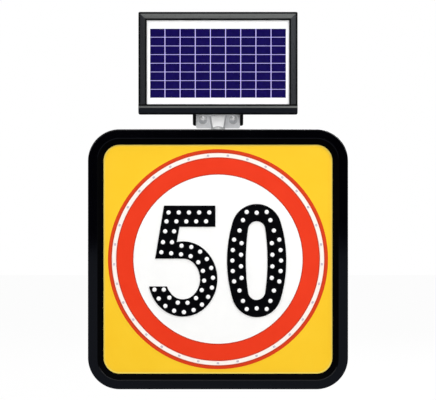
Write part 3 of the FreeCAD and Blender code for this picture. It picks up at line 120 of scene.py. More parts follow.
# %% Lamps
def softbox(name, place, aim, size, watts):
    """A square area lamp that looks from its place to a point."""
    lamp = bpy.data.objects.new(name, bpy.data.lights.new(name, "AREA"))
    lamp.data.size = size
    lamp.data.energy = watts
    lamp.location = place
    way = np.array(aim) - np.array(place)
    tilt = math.acos(-way[2] / np.linalg.norm(way))
    lamp.rotation_euler = (tilt, 0, math.atan2(way[1], way[0]) - math.pi / 2)
    bpy.context.scene.collection.objects.link(lamp)
    return lamp


softbox("key_lamp", place=(2.3, -3.2, 2.9), aim=(0, 0, 0.1), size=1.8, watts=80)
camera_lamp = softbox("camera_lamp", place=(0.5, -4.6, 0.5), aim=(0, 0, 0.2), size=2.0, watts=70)
fill_lamp = softbox("fill_lamp", place=(-2.8, -3.4, 1.4), aim=(0, 0, 0.1), size=2.2, watts=44)
softbox("rear_lamp", place=(1.2, 3.6, 2.6), aim=(0, 0, 0.1), size=2.2, watts=140)
softbox("top_lamp", place=(0.2, -0.2, 3.4), aim=(0, 0, 0.3), size=1.6, watts=45)
camera_lamp.visible_glossy = False
fill_lamp.visible_glossy = False

# %% [markdown]
# ## The sky
# A pale sky evens out the light. It could be one colour, but the photograph's black bezel and the panel's side
# rails mirror a dark studio, while whatever faces up mirrors a pale one. So what mirrors see brightens with
# height and a little towards the two side walls, with one low bright strip in front for the bolts' washers to
# catch. What the camera sees is plain white. A world's Generated coordinates are the ray's own direction, so
# heights and widths here are the sine or cosine of its angle.

# %% Sky
SKY_LIGHT = 0.34
MIRRORED_SKY = 0.75
DARK_STUDIO = 0.004
DARK_BELOW = math.sin(math.radians(16))
PALE_ABOVE = math.sin(math.radians(52))
SIDE_WALL = 0.14
SIDE_WALL_FROM = 0.35
SIDE_WALL_FULL = 0.6
STRIP_LOW = math.sin(math.radians(8))
STRIP_HIGH = math.sin(math.radians(17))
STRIP_WIDE = math.cos(math.radians(35))
STRIP_LIGHT = 1.4


def spread(tree, factor, low, high, start=0.3, end=0.7):
    """Maps a pattern to numbers: low up to its start, high from its end, and evenly between."""
    return add(tree, "ShaderNodeMapRange", {"Value": factor, "From Min": start, "From Max": end,
                                            "To Min": low, "To Max": high}).outputs[0]


sky = bpy.data.worlds.new("studio_sky")
bpy.context.scene.world = sky
sky.use_nodes = True
tree = sky.node_tree
tree.nodes.clear()
seen_by = add(tree, "ShaderNodeLightPath")
way = add(tree, "ShaderNodeSeparateXYZ", {0: add(tree, "ShaderNodeTexCoord").outputs["Generated"]})
studio = spread(tree, way.outputs[2], DARK_STUDIO, MIRRORED_SKY, DARK_BELOW, PALE_ABOVE)
sideways = add(tree, "ShaderNodeMath", {0: way.outputs[0]}, operation="ABSOLUTE")
walls = spread(tree, sideways.outputs[0], 0.0, SIDE_WALL, SIDE_WALL_FROM, SIDE_WALL_FULL)
room = add(tree, "ShaderNodeMath", {0: studio, 1: walls}, operation="MAXIMUM")
over = add(tree, "ShaderNodeMath", {0: way.outputs[2], 1: STRIP_LOW}, operation="GREATER_THAN")
under = add(tree, "ShaderNodeMath", {0: way.outputs[2], 1: STRIP_HIGH}, operation="LESS_THAN")
ahead = add(tree, "ShaderNodeMath", {0: way.outputs[1], 1: -STRIP_WIDE}, operation="LESS_THAN")
strip = add(tree, "ShaderNodeMath", {0: over.outputs[0], 1: under.outputs[0]}, operation="MULTIPLY")
strip = add(tree, "ShaderNodeMath", {0: strip.outputs[0], 1: ahead.outputs[0]}, operation="MULTIPLY")
strip = add(tree, "ShaderNodeMath", {0: strip.outputs[0], 1: STRIP_LIGHT}, operation="MULTIPLY")
room = add(tree, "ShaderNodeMath", {0: room.outputs[0], 1: strip.outputs[0]}, operation="MAXIMUM")
plain = add(tree, "ShaderNodeBackground", {"Color": linear("#ffffff"), "Strength": SKY_LIGHT})
mirrored = add(tree, "ShaderNodeBackground", {"Color": linear("#ffffff"), "Strength": room.outputs[0]})
white = add(tree, "ShaderNodeBackground", {"Color": linear("#ffffff"), "Strength": 1.0})
straight = add(tree, "ShaderNodeMath", {0: seen_by.outputs["Is Camera Ray"],
                                        1: seen_by.outputs["Is Transmission Ray"]}, operation="MAXIMUM")
lights = add(tree, "ShaderNodeMixShader", {0: seen_by.outputs["Is Glossy Ray"], 1: plain.outputs[0],
                                           2: mirrored.outputs[0]})
both = add(tree, "ShaderNodeMixShader", {0: straight.outputs[0], 1: lights.outputs[0], 2: white.outputs[0]})
add(tree, "ShaderNodeOutputWorld", {"Surface": both.outputs[0]})
bpy.context.scene.view_settings.view_transform = "Standard"
print("sky", SKY_LIGHT, "and in mirrors", DARK_STUDIO, "to", MIRRORED_SKY)

# %% [markdown]
# ## The floor
# The sign hangs on a post, so the pale floor lies well below it. It runs far towards the camera: that is what
# the lower half of the glossy bezel mirrors, while the upper half mirrors the dark studio over its edge.
# The paper is mid grey, so that little light comes back up from it, and mirrors see it as an even blue-grey.
# Most of what the camera sees of it is a plain white that lights nothing. The rest takes the object's shadow.
# Its underside is clear, so that views from below still show the sign.

# %% Floor
FLOOR_Z = -0.62
FLOOR_FRONT = -24.0
FLOOR_REACH = 14.0
FIBRES_PER_METRE = 40.0
SHOWN_WHITE = 0.9
SHOWN_STRENGTH = 1.07
TONE_A = 6
TONE_B = 7
TONE_OUT = 2


def blend(tree, factor, low, high):
    """A colour between two hex codes or colour outputs. The Mix node's colour sockets are 6, 7 and 2."""
    mix = add(tree, "ShaderNodeMix", {"Factor": factor}, data_type="RGBA")
    for number, value in ((TONE_A, low), (TONE_B, high)):
        if isinstance(value, str):
            mix.inputs[number].default_value = linear(value)
        else:
            tree.links.new(value, mix.inputs[number])
    return mix.outputs[TONE_OUT]


floor_mesh = bpy.data.meshes.new("floor")
floor_corners = [(-FLOOR_REACH, FLOOR_FRONT, FLOOR_Z), (FLOOR_REACH, FLOOR_FRONT, FLOOR_Z),
                 (FLOOR_REACH, FLOOR_REACH, FLOOR_Z), (-FLOOR_REACH, FLOOR_REACH, FLOOR_Z)]
floor_mesh.from_pydata(floor_corners, [], [(0, 1, 2, 3)])
floor = bpy.data.objects.new("floor", floor_mesh)
bpy.context.scene.collection.objects.link(floor)

paper = bpy.data.materials.new("studio_paper")
paper.use_nodes = True
tree = paper.node_tree
tree.nodes.clear()
place = add(tree, "ShaderNodeTexCoord")
fibres = add(tree, "ShaderNodeTexNoise", {"Vector": place.outputs["Object"], "Scale": FIBRES_PER_METRE,
                                          "Detail": 4.0})
seen_by = add(tree, "ShaderNodeLightPath")
tone = blend(tree, fibres.outputs["Fac"], "#8f8f8e", "#9a9a99")
sheet = add(tree, "ShaderNodeBsdfDiffuse", {"Color": tone})
in_mirrors = add(tree, "ShaderNodeEmission", {"Color": linear("#656b76"), "Strength": 1.0})
glow = add(tree, "ShaderNodeEmission", {"Color": linear("#ffffff"), "Strength": SHOWN_STRENGTH})
shown_share = add(tree, "ShaderNodeMath", {0: seen_by.outputs["Is Camera Ray"], 1: SHOWN_WHITE},
                  operation="MULTIPLY")
lit = add(tree, "ShaderNodeMixShader", {0: shown_share.outputs[0], 1: sheet.outputs[0], 2: glow.outputs[0]})
above = add(tree, "ShaderNodeMixShader", {0: seen_by.outputs["Is Glossy Ray"], 1: lit.outputs[0],
                                          2: in_mirrors.outputs[0]})
from_below = add(tree, "ShaderNodeNewGeometry").outputs["Backfacing"]
clear = add(tree, "ShaderNodeBsdfTransparent")
both = add(tree, "ShaderNodeMixShader", {0: from_below, 1: above.outputs[0], 2: clear.outputs[0]})
add(tree, "ShaderNodeOutputMaterial", {"Surface": both.outputs[0]})
floor_mesh.materials.append(paper)
print("floor", -FLOOR_Z, "m below the disc's centre")

# %% [markdown]
# ## How a finish is made
# Nearly every surface here is a moulded, painted or rolled sheet of one colour. What makes it look real is
# that the colour, the gloss and the relief each vary a little, at the size of the maker's grain. So each
# finish starts from plain values and gets up to three patterns: a mottle of two close colours, a wear of
# the roughness, and a relief. They read Object coordinates, which are metres on the real part.

# %% Finish helpers
MOTTLE_GRAINS = 14


def finish(name, colour, roughness, metallic=0.0, **more):
    """A material with its shader's own sockets set. More are sockets by name, with _ for each space."""
    made = bpy.data.materials.new(name)
    made.use_nodes = True
    shader = made.node_tree.nodes["Principled BSDF"]
    shader.inputs["Base Color"].default_value = linear(colour)
    shader.inputs["Roughness"].default_value = roughness
    shader.inputs["Metallic"].default_value = metallic
    for key, value in more.items():
        shader.inputs[key.replace("_", " ")].default_value = value
    return made, made.node_tree, shader


def noise(tree, size_mm, stretch=(1, 1, 1), detail=3.0, roughness=0.55):
    """A cloudy pattern whose spots are size_mm wide. The stretch shortens it along an axis."""
    place = add(tree, "ShaderNodeTexCoord")
    turned = add(tree, "ShaderNodeMapping", {"Vector": place.outputs["Object"], "Scale": stretch})
    spots = add(tree, "ShaderNodeTexNoise", {"Vector": turned.outputs[0], "Scale": 1 / (size_mm * MM),
                                             "Detail": detail, "Roughness": roughness})
    return spots.outputs["Fac"]


def relief(tree, shader, height, depth_mm):
    """Bump from a pattern, as deep as depth_mm."""
    bump = add(tree, "ShaderNodeBump", {"Height": height, "Distance": depth_mm * MM, "Strength": 1.0})
    tree.links.new(bump.outputs[0], shader.inputs["Normal"])


def surface(name, low, high, rough, grain_mm, depth_mm, metallic=0.0, stretch=(1, 1, 1), mottle_mm=None,
            **more):
    """A finish of one grain: a mottle between two colours, a roughness between two values, and a relief."""
    made, tree, shader = finish(name, low, rough[0], metallic, **more)
    grain = noise(tree, grain_mm, stretch)
    cloud = noise(tree, mottle_mm or MOTTLE_GRAINS * grain_mm, stretch, detail=5.0)
    tree.links.new(blend(tree, spread(tree, cloud, 0.0, 1.0), low, high), shader.inputs["Base Color"])
    tree.links.new(spread(tree, cloud, *rough), shader.inputs["Roughness"])
    relief(tree, shader, grain, depth_mm)
    return made


def wear(node, made):
    """Puts a finish on a CAD piece in place of the one it was packed with."""
    NODES[node].data.materials.clear()
    NODES[node].data.materials.append(made)


CASE_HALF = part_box("front_bezel")[1][0]
CORNER_R = 86.0


def case_inset(tree):
    """How far in from the housing's rounded outline: the corner's radius less the length of (|x|, |z|) beyond
    the corner's centre."""
    place = add(tree, "ShaderNodeTexCoord")
    flat = add(tree, "ShaderNodeVectorMath", {0: place.outputs["Object"], 1: (1, 0, 1)}, operation="MULTIPLY")
    quarter = add(tree, "ShaderNodeVectorMath", {0: flat.outputs[0]}, operation="ABSOLUTE")
    centre = CASE_HALF - CORNER_R * MM
    beyond = add(tree, "ShaderNodeVectorMath", {0: quarter.outputs[0], 1: (centre, 0, centre)},
                 operation="SUBTRACT")
    outward = add(tree, "ShaderNodeVectorMath", {0: beyond.outputs[0], 1: (0, 0, 0)}, operation="MAXIMUM")
    reach = add(tree, "ShaderNodeVectorMath", {0: outward.outputs[0]}, operation="LENGTH")
    inset = add(tree, "ShaderNodeMath", {0: CORNER_R * MM, 1: reach.outputs["Value"]}, operation="SUBTRACT")
    return inset.outputs[0]


print("housing", round(2 * CASE_HALF / MM, 1), "mm wide")

# %% [markdown]
# ## Moulded plastics
# The housing is ABS, moulded in a spark-eroded tool: black, with a fine even grain and a soft sheen. The
# bezel is the same plastic from a polished tool, so it is glossy with a slight orange peel. Only its inner
# slope is dead matt, so that it doesn't mirror the face. Glands, caps and boxes are nylon, a little greyer.
# Inside are green boards, black resin parts, rubber gaskets and a woven strap. The real grain is about
# 0.3 mm, and it is drawn at 0.9 mm to show.

# %% Plastics
housing_abs = surface("grained_black_abs", "#131418", "#1a1b1f", (0.42, 0.55), 0.9, 0.05, mottle_mm=60)
bezel_abs = surface("polished_black_abs", "#010103", "#030306", (0.045, 0.075), 9.0, 0.008,
                    Specular_IOR_Level=0.62)
slope_abs = surface("matt_black_slope", "#010102", "#030304", (0.6, 0.75), 0.9, 0.03, Specular_IOR_Level=0.03)
nylon = surface("moulded_black_nylon", "#0d0e10", "#151619", (0.4, 0.52), 1.2, 0.05)
battery_shell = surface("battery_case_abs", "#2a2b2e", "#34353a", (0.4, 0.55), 1.0, 0.05)
component_resin = surface("component_resin", "#16171a", "#222327", (0.3, 0.5), 0.7, 0.03)
board_mask = surface("green_solder_mask", "#0d4a26", "#146433", (0.25, 0.4), 2.0, 0.04)
rubber = surface("epdm_rubber", "#121212", "#1b1b1b", (0.7, 0.85), 0.8, 0.06)
webbing = surface("polyester_webbing", "#131316", "#26262b", (0.75, 0.9), 1.6, 0.25, stretch=(1, 4, 1))
for node in ("rear_case", "battery_hatch"):
    wear(node, housing_abs)
wear("front_bezel", bezel_abs)
for node in ("cable_gland", "vent_plug", "mast_cap", "junction_box", "junction_lid", "junction_gland"):
    wear(node, nylon)
for node in ("bezel_gasket", "hatch_gasket", "mast_seal"):
    wear(node, rubber)
for node in ("five_board", "zero_board", "controller_board"):
    wear(node, board_mask)
wear("battery_pack", battery_shell)
wear("controller_parts", component_resin)
wear("battery_strap", webbing)
print("plastics", housing_abs.name, bezel_abs.name, slope_abs.name, nylon.name)

# %% [markdown]
# ## Metals
# The mast is bright zinc over steel. The clamp halves are blasted aluminium castings whose front boss is
# white, and the mounting rails are satin anodised extrusions with die lines along them. Small fixings
# are bright zinc plated, and the clamp's two bolts are polished as well. The panel's bracket is powder coated
# black, with the small bumps of baked powder. Zinc, blasting and anodising scatter light much as a pale paint
# does, so their metallic value is about a half or less. A bare metal's look comes from its roughness and its
# relief alone.

# %% Metals
bright_zinc = surface("galvanised_steel", "#f0f1f1", "#ffffff", (0.3, 0.42), 6.0, 0.02, metallic=0.15,
                      mottle_mm=9)
plated_zinc = surface("zinc_plated_steel", "#e6e8ea", "#f8f9fa", (0.24, 0.36), 0.8, 0.02, metallic=0.55)
polished_zinc = surface("polished_zinc_bolts", "#f2f3f4", "#ffffff", (0.13, 0.2), 1.5, 0.01, metallic=0.5)
WHITE_BOSS_TO = -76.5
BLASTED_FROM = -75.5
cast_aluminium, tree, shader = finish("blasted_cast_aluminium", "#e2e3e5", 0.5, 0.05)
place = add(tree, "ShaderNodeSeparateXYZ", {0: add(tree, "ShaderNodeTexCoord").outputs["Object"]})
# The boss's front, ahead of a set depth, turns white.
white_boss = spread(tree, place.outputs[1], 1.0, 0.0, WHITE_BOSS_TO * MM, BLASTED_FROM * MM)
cloud = spread(tree, noise(tree, 12, detail=5.0), 0.0, 1.0)
blasted = blend(tree, cloud, "#dcdddf", "#e8e9eb")
tree.links.new(blend(tree, white_boss, blasted, "#ffffff"), shader.inputs["Base Color"])
tree.links.new(spread(tree, cloud, 0.5, 0.62), shader.inputs["Roughness"])
relief(tree, shader, noise(tree, 0.9), 0.06)
rail_aluminium = surface("anodised_aluminium_rail", "#c4c6c8", "#d3d5d6", (0.32, 0.44), 0.7, 0.02,
                         metallic=0.45, stretch=(0.02, 1, 1))
inner_aluminium = surface("mill_aluminium", "#b9bbbd", "#c9cbcc", (0.3, 0.45), 1.0, 0.02, metallic=1.0)
brass = surface("turned_brass", "#b08d3f", "#c4a251", (0.25, 0.4), 0.7, 0.02, metallic=1.0)
powder_coat = surface("black_powder_coat", "#08090a", "#0e0f10", (0.4, 0.55), 1.1, 0.07)
wear("mast_stub", bright_zinc)
for node in ("front_saddle", "rear_saddle"):
    wear(node, cast_aluminium)
for node in ("lower_rail", "upper_rail"):
    wear(node, rail_aluminium)
wear("retaining_frame", inner_aluminium)
for node in ("bezel_screws", "battery_tray", "hatch_screws", "post_nuts", "rail_bolts", "rail_nuts",
             "mast_screws", "clamp_bolts", "clamp_nuts", "tilt_bolts", "bracket_screws"):
    wear(node, plated_zinc)
wear("board_standoffs", brass)
wear("panel_bracket", powder_coat)
print("metals", bright_zinc.name, cast_aluminium.name, rail_aluminium.name, powder_coat.name)

# %% [markdown]
# ## The face
# The face is an aluminium sheet under yellow retroreflective sheeting. The red ring and the white disc are
# cut from the same kind of film. Such film is a clear skin over tiny beads in cells a few millimetres wide,
# which show as a faint net. A paler line on the yellow beside the bezel is painted light, which evens out the
# bezel's shade. The red sheet is darker beside the white disc, along the lit band and towards its rim.

# %% Film helpers
CELL_MM = 4.0


def film(name, low, high):
    """Sheeting: cells of CELL_MM with thin raised walls, and a slow drift of tone."""
    made, tree, shader = finish(name, low, 0.42, Specular_IOR_Level=0.2)
    place = add(tree, "ShaderNodeTexCoord")
    cells = add(tree, "ShaderNodeTexVoronoi", {"Vector": place.outputs["Object"], "Scale": 1 / (CELL_MM * MM),
                                               "Randomness": 0.25}, feature="DISTANCE_TO_EDGE")
    walls = spread(tree, cells.outputs[0], 0.0, 1.0, 0.0, 0.12)
    drift = noise(tree, 90)
    tree.links.new(spread(tree, drift, 0.38, 0.48), shader.inputs["Roughness"])
    relief(tree, shader, walls, 0.03)
    tone = blend(tree, spread(tree, drift, 0.0, 1.0), low, high)
    return made, tree, shader, blend(tree, spread(tree, walls, 0.25, 0.0, 0.0, 1.0), tone, high)


def from_centre(tree):
    """The distance from the disc's centre, in metres, square to the face."""
    place = add(tree, "ShaderNodeTexCoord")
    flat = add(tree, "ShaderNodeVectorMath", {0: place.outputs["Object"], 1: (1, 0, 1)}, operation="MULTIPLY")
    return add(tree, "ShaderNodeVectorMath", {0: flat.outputs[0]}, operation="LENGTH").outputs["Value"]


def points_of(node):
    """A CAD piece's points in millimetres, one row of x, y and z for each."""
    points = np.empty(len(NODES[node].data.vertices) * 3)
    NODES[node].data.vertices.foreach_get("co", points)
    return points.reshape(-1, 3) / MM


def radii_of(node):
    """A ring's inner and outer radius in metres, from how far its points lie from the disc's centre."""
    reach = np.linalg.norm(points_of(node)[:, [0, 2]], axis=1) * MM
    return float(reach.min()), float(reach.max())


print("films are drawn in cells of", CELL_MM, "mm")

# %% [markdown]
# The red sheet's dark lines follow the ring and the lit band, so their radii are read off the CAD pieces.
# Each line is a range of distance with soft ends, laid over the film's own tone.

# %% Yellow, white and red films
PAINTED_LIGHT_TO = 43.5
PLAIN_FROM = 47.5
RIM_FADE = 3.0
RING_LINE = (0.8, 3.4)
BAND_LINE = (0.6, 3.2)
RING_INNER, RING_OUTER = radii_of("red_ring")
BAND_INNER, BAND_REACH = radii_of("halo_strip")
BAND_MIDDLE = (BAND_INNER + BAND_REACH) / 2
BAND_HALF = (BAND_REACH - BAND_INNER) / 2
print("red ring", RING_INNER, RING_OUTER, "band", BAND_INNER, BAND_REACH)


def from_band(tree):
    """How far a point lies from the middle circle of the lit band, in metres."""
    off = add(tree, "ShaderNodeMath", {0: from_centre(tree), 1: BAND_MIDDLE}, operation="SUBTRACT")
    return add(tree, "ShaderNodeMath", {0: off.outputs[0]}, operation="ABSOLUTE").outputs[0]


yellow_film, tree, shader, tone = film("yellow_reflective_sheeting", "#fcc924", "#fdcd2b")
# Painted light: the yellow turns paler towards the bezel, to even out the shade that the bezel casts.
painted_light_by_bezel = spread(tree, case_inset(tree), 1.0, 0.0, PAINTED_LIGHT_TO * MM, PLAIN_FROM * MM)
tree.links.new(blend(tree, painted_light_by_bezel, tone, "#ffe066"), shader.inputs["Base Color"])
white_film, tree, shader, tone = film("white_reflective_sheeting", "#fbfbfa", "#fffffe")
tree.links.new(tone, shader.inputs["Base Color"])
red_film, tree, shader, tone = film("red_reflective_sheeting", "#ea3613", "#ef3b19")
radius = from_centre(tree)
outer_edge = spread(tree, radius, 0.0, 1.0, BAND_REACH, BAND_REACH + RIM_FADE * MM)
inner_line = spread(tree, radius, 1.0, 0.0, *(RING_INNER + edge * MM for edge in RING_LINE))
band_line = spread(tree, from_band(tree), 1.0, 0.0, *(BAND_HALF + edge * MM for edge in BAND_LINE))
line = add(tree, "ShaderNodeMath", {0: inner_line, 1: band_line}, operation="MAXIMUM").outputs[0]
tone = blend(tree, outer_edge, tone, "#db3c12")
tree.links.new(blend(tree, line, tone, "#b02c16"), shader.inputs["Base Color"])
wear("face_sheet", yellow_film)
wear("white_disc", white_film)
wear("red_ring", red_film)

# %% [markdown]
# ## The lit band
# A flat white silicone light guide lies in the red ring. It is milky, so the red shows through at its thin
# edges as a pink fringe. Its small lamps are lilac-grey chips.

# %% Light guide and chips
THIN_EDGE = (-1.8, 0.2)
silicone, tree, shader = finish("milky_silicone", "#fff5ef", 0.5, Specular_IOR_Level=0.3)
tone = blend(tree, spread(tree, noise(tree, 12), 0.0, 1.0), "#fff3eb", "#fff8f2")
thin = spread(tree, from_band(tree), 0.0, 1.0, *(BAND_HALF + edge * MM for edge in THIN_EDGE))
tree.links.new(blend(tree, thin, tone, "#fbb9a6"), shader.inputs["Base Color"])
relief(tree, shader, noise(tree, 2.0), 0.05)
wear("halo_strip", silicone)
chip_resin = surface("lilac_chip_resin", "#c3b8c5", "#d8ced9", (0.25, 0.4), 0.7, 0.02)
wear("halo_leds", chip_resin)
print("band", silicone.name, chip_resin.name)

# %% [markdown]
# ## Digits and lenses
# The digits are black acrylic plates with a satin face. Each lamp is a milky lens cap, white over its lamp,
# with a painted shade that greys it down its side. A weak glow stands for the lamp's light.

# %% Acrylic and lenses
black_acrylic = surface("black_acrylic", "#010103", "#030306", (0.3, 0.42), 1.5, 0.02,
                        Specular_IOR_Level=0.08)
for node in ("digit_five", "digit_zero"):
    wear(node, black_acrylic)
lens, tree, shader = finish("white_lens", "#ffffff", 0.16, Coat_Weight=0.5, Emission_Color=linear("#ffffff"),
                            Emission_Strength=0.06)
place = add(tree, "ShaderNodeSeparateXYZ", {0: add(tree, "ShaderNodeTexCoord").outputs["Object"]})
GREY_FOOT = 0.9
WHITE_CAP = 0.7
lens_front, lens_back = (corner[1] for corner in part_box("five_lamps"))
# Painted shade: the lens's colour goes from grey at its foot to white at its cap.
painted_side_shade = spread(tree, place.outputs[1], 0.0, 1.0, lens_back - GREY_FOOT * MM, lens_front + WHITE_CAP * MM)
tree.links.new(blend(tree, painted_side_shade, "#6f7074", "#ffffff"), shader.inputs["Base Color"])
relief(tree, shader, noise(tree, 1.0), 0.01)
print("digits", black_acrylic.name, lens.name)

# %% [markdown]
# ## Solar glass
# Solar glass is nearly invisible from the front: its coating leaves a mirror of about 2 percent. It is made
# of a see-through shader and a mirror, mixed by how steeply one looks. Real refraction would shade the cells
# under it, so light passes straight through, and only the outer skin mirrors.

# %% Glass
COATED_IOR = 1.3
glass = bpy.data.materials.new("tempered_glass")
glass.use_nodes = True
tree = glass.node_tree
tree.nodes.clear()
ripple = add(tree, "ShaderNodeBump", {"Height": noise(tree, 25), "Distance": 0.02 * MM})
clear = add(tree, "ShaderNodeBsdfTransparent", {"Color": linear("#ffffff")})
mirror = add(tree, "ShaderNodeBsdfGlossy", {"Color": linear("#ffffff"), "Roughness": 0.04,
                                            "Normal": ripple.outputs[0]})
steep = add(tree, "ShaderNodeFresnel", {"IOR": COATED_IOR, "Normal": ripple.outputs[0]})
shadow = add(tree, "ShaderNodeLightPath").outputs["Is Shadow Ray"]
inner_skin = add(tree, "ShaderNodeNewGeometry").outputs["Backfacing"]
passes = add(tree, "ShaderNodeMath", {0: shadow, 1: inner_skin}, operation="MAXIMUM")
mirrors = add(tree, "ShaderNodeMath", {0: 1.0, 1: passes.outputs[0]}, operation="SUBTRACT")
share = add(tree, "ShaderNodeMath", {0: steep.outputs[0], 1: mirrors.outputs[0]}, operation="MULTIPLY")
pane = add(tree, "ShaderNodeMixShader", {0: share.outputs[0], 1: clear.outputs[0], 2: mirror.outputs[0]})
add(tree, "ShaderNodeOutputMaterial", {"Surface": pane.outputs[0]})
print("glass", glass.name)

# %% [markdown]
# ## Solar cells
# The cells are silicon wafers with a blue-violet coating. One flat pattern would do, but it has to agree with
# the wafers that are made later. So the cells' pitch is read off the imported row, and the distance to a cell's
# nearest edge comes from a coordinate that is wrapped at each pitch.

# %% Places of the cells
cells_low, cells_high = (np.array(corner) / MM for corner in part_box("solar_cells"))
CELL_COUNT = (9, 8)
WAFER_GAP = (2.0, 1.25)


def pitch_of(node, axis):
    """The step in mm from one solid's low side to the next one's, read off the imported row."""
    levels = np.unique(np.round(points_of(node)[:, axis], 2))
    return levels[2] - levels[0]


CELL_PITCH = (pitch_of("solar_cells", 0), pitch_of("solar_cells", 2))
WAFER = [pitch - gap for pitch, gap in zip(CELL_PITCH, WAFER_GAP)]
FIELD_MIDDLE = ((cells_low + cells_high) / 2)[[0, 2]]
FIELD = [count * pitch - gap for count, pitch, gap in zip(CELL_COUNT, CELL_PITCH, WAFER_GAP)]
print("cells", WAFER, "mm at", CELL_PITCH, "mm")


def cell_edge(tree, axis, k):
    """How near a point is to the nearer edge of its own cell along one axis, in metres."""
    place = add(tree, "ShaderNodeSeparateXYZ", {0: add(tree, "ShaderNodeTexCoord").outputs["Object"]})
    first = (FIELD_MIDDLE[k] - FIELD[k] / 2 + WAFER[k] / 2) * MM
    shifted = add(tree, "ShaderNodeMath", {0: place.outputs[axis], 1: first}, operation="SUBTRACT")
    half = CELL_PITCH[k] / 2 * MM
    wrapped = add(tree, "ShaderNodeMath", {0: shifted.outputs[0], 1: half, 2: -half}, operation="WRAP")
    off = add(tree, "ShaderNodeMath", {0: wrapped.outputs[0]}, operation="ABSOLUTE")
    left = add(tree, "ShaderNodeMath", {0: WAFER[k] / 2 * MM, 1: off.outputs[0]}, operation="SUBTRACT")
    return left.outputs[0]


# %% [markdown]
# Seen close, the coating shows faint crystals about 9 mm wide. It is darker towards each cell's edges, but for
# a bright sawn rim: two ranges of the distance to the edge.

# %% Silicon finish
CRYSTAL = 9.0
DARK_EDGE = (0.6, 4.2)
SAWN_RIM = (0.25, 0.4)
silicon, tree, shader = finish("coated_silicon", "#150b57", 0.3, Specular_IOR_Level=0.05)
near = add(tree, "ShaderNodeMath", {0: cell_edge(tree, 0, 0), 1: cell_edge(tree, 2, 1)}, operation="MINIMUM")
crystal = add(tree, "ShaderNodeTexVoronoi", {"Vector": add(tree, "ShaderNodeTexCoord").outputs["Object"],
                                             "Scale": 1 / (CRYSTAL * MM)})
grains = spread(tree, crystal.outputs["Distance"], 0.0, 1.0, 0.0, 0.9)
tone = blend(tree, grains, "#150b58", "#0f0648")
for (start, end), colour in ((DARK_EDGE, "#0a0438"), (SAWN_RIM, "#7a70c4")):
    tone = blend(tree, spread(tree, near.outputs[0], 1.0, 0.0, start * MM, end * MM), tone, colour)
tree.links.new(tone, shader.inputs["Base Color"])
tree.links.new(spread(tree, grains, 0.25, 0.4, 0.0, 1.0), shader.inputs["Roughness"])
relief(tree, shader, noise(tree, 1.2), 0.01)
print("cells' finish", silicon.name)

# %% [markdown]
# ## Back sheet
# The sheet behind the cells is white plastic film. In the gaps it takes the violet of the cells' coating. So
# its front is tinted inside the cells' field, and it stays white round that field and behind.

# %% Back sheet
SHEET_SKIN = 0.1
back_sheet, tree, shader = finish("white_back_sheet", "#fdfdff", 0.45, Specular_IOR_Level=0.3)
place = add(tree, "ShaderNodeTexCoord")
middle = (FIELD_MIDDLE[0] * MM, 0, FIELD_MIDDLE[1] * MM)
from_middle = add(tree, "ShaderNodeVectorMath", {0: place.outputs["Object"], 1: middle}, operation="SUBTRACT")
from_middle = add(tree, "ShaderNodeVectorMath", {0: from_middle.outputs[0]}, operation="ABSOLUTE")
parts = add(tree, "ShaderNodeSeparateXYZ", {0: from_middle.outputs[0]})
in_width = add(tree, "ShaderNodeMath", {0: parts.outputs[0], 1: FIELD[0] / 2 * MM}, operation="LESS_THAN")
in_height = add(tree, "ShaderNodeMath", {0: parts.outputs[2], 1: FIELD[1] / 2 * MM}, operation="LESS_THAN")
sheet_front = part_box("backsheet")[0][1] + SHEET_SKIN * MM
ahead = add(tree, "ShaderNodeMath", {0: parts.outputs[1], 1: -sheet_front}, operation="GREATER_THAN")
field = add(tree, "ShaderNodeMath", {0: in_width.outputs[0], 1: in_height.outputs[0]}, operation="MULTIPLY")
violet = add(tree, "ShaderNodeMath", {0: field.outputs[0], 1: ahead.outputs[0]}, operation="MULTIPLY")
plain_tone = blend(tree, spread(tree, noise(tree, 30), 0.0, 1.0), "#fcfdff", "#ffffff")
tree.links.new(blend(tree, violet.outputs[0], plain_tone, "#cbc3fb"), shader.inputs["Base Color"])
relief(tree, shader, noise(tree, 2.0), 0.02)
wear("backsheet", back_sheet)
print("field of cells", FIELD, "mm")

# %% [markdown]
# ## How a new piece is made
# A new piece is a grid of points worked out with whole arrays: a profile turned about an axis, or carried
# along a path. The grid's squares become the faces. Points that fall together, such as those at a pole, are
# merged, and the faces are made to point outwards.

# %% Mesh helpers
DOUBLES = 0.002
ON_PLANE = 0.01


def grid_faces(rows, columns, closed_rows=False):
    """The squares of a grid of points, row by row. Each row is a closed loop."""
    i, j = np.meshgrid(np.arange(rows if closed_rows else rows - 1), np.arange(columns), indexing="ij")
    i2, j2 = (i + 1) % rows, (j + 1) % columns
    corners = [i * columns + j, i * columns + j2, i2 * columns + j2, i2 * columns + j]
    return np.stack(corners, axis=-1).reshape(-1, 4)


def show(name, mesh, made, body, instead_of, crease):
    """Smooths all but the edges sharper than the crease, and puts the mesh on its body."""
    mesh.shade_smooth()
    mesh.set_sharp_from_angle(angle=math.radians(crease))
    mesh.materials.clear()
    mesh.materials.append(made)
    made_object = bpy.data.objects.new(name, mesh)
    bpy.context.scene.collection.objects.link(made_object)
    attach(made_object, body)
    if instead_of:
        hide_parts(*instead_of)
    return made_object


def piece(name, points, faces, made, body, instead_of=(), crease=35):
    """Makes the mesh from points in millimetres: merges doubles and turns the faces outwards."""
    mesh = bpy.data.meshes.new(name)
    mesh.from_pydata((np.reshape(points, (-1, 3)) * MM).tolist(), [], [list(face) for face in faces])
    work = bmesh.new()
    work.from_mesh(mesh)
    bmesh.ops.remove_doubles(work, verts=work.verts, dist=DOUBLES * MM)
    bmesh.ops.recalc_face_normals(work, faces=work.faces)
    work.to_mesh(mesh)
    work.free()
    print(name, len(mesh.polygons), "faces")
    return show(name, mesh, made, body, instead_of, crease)


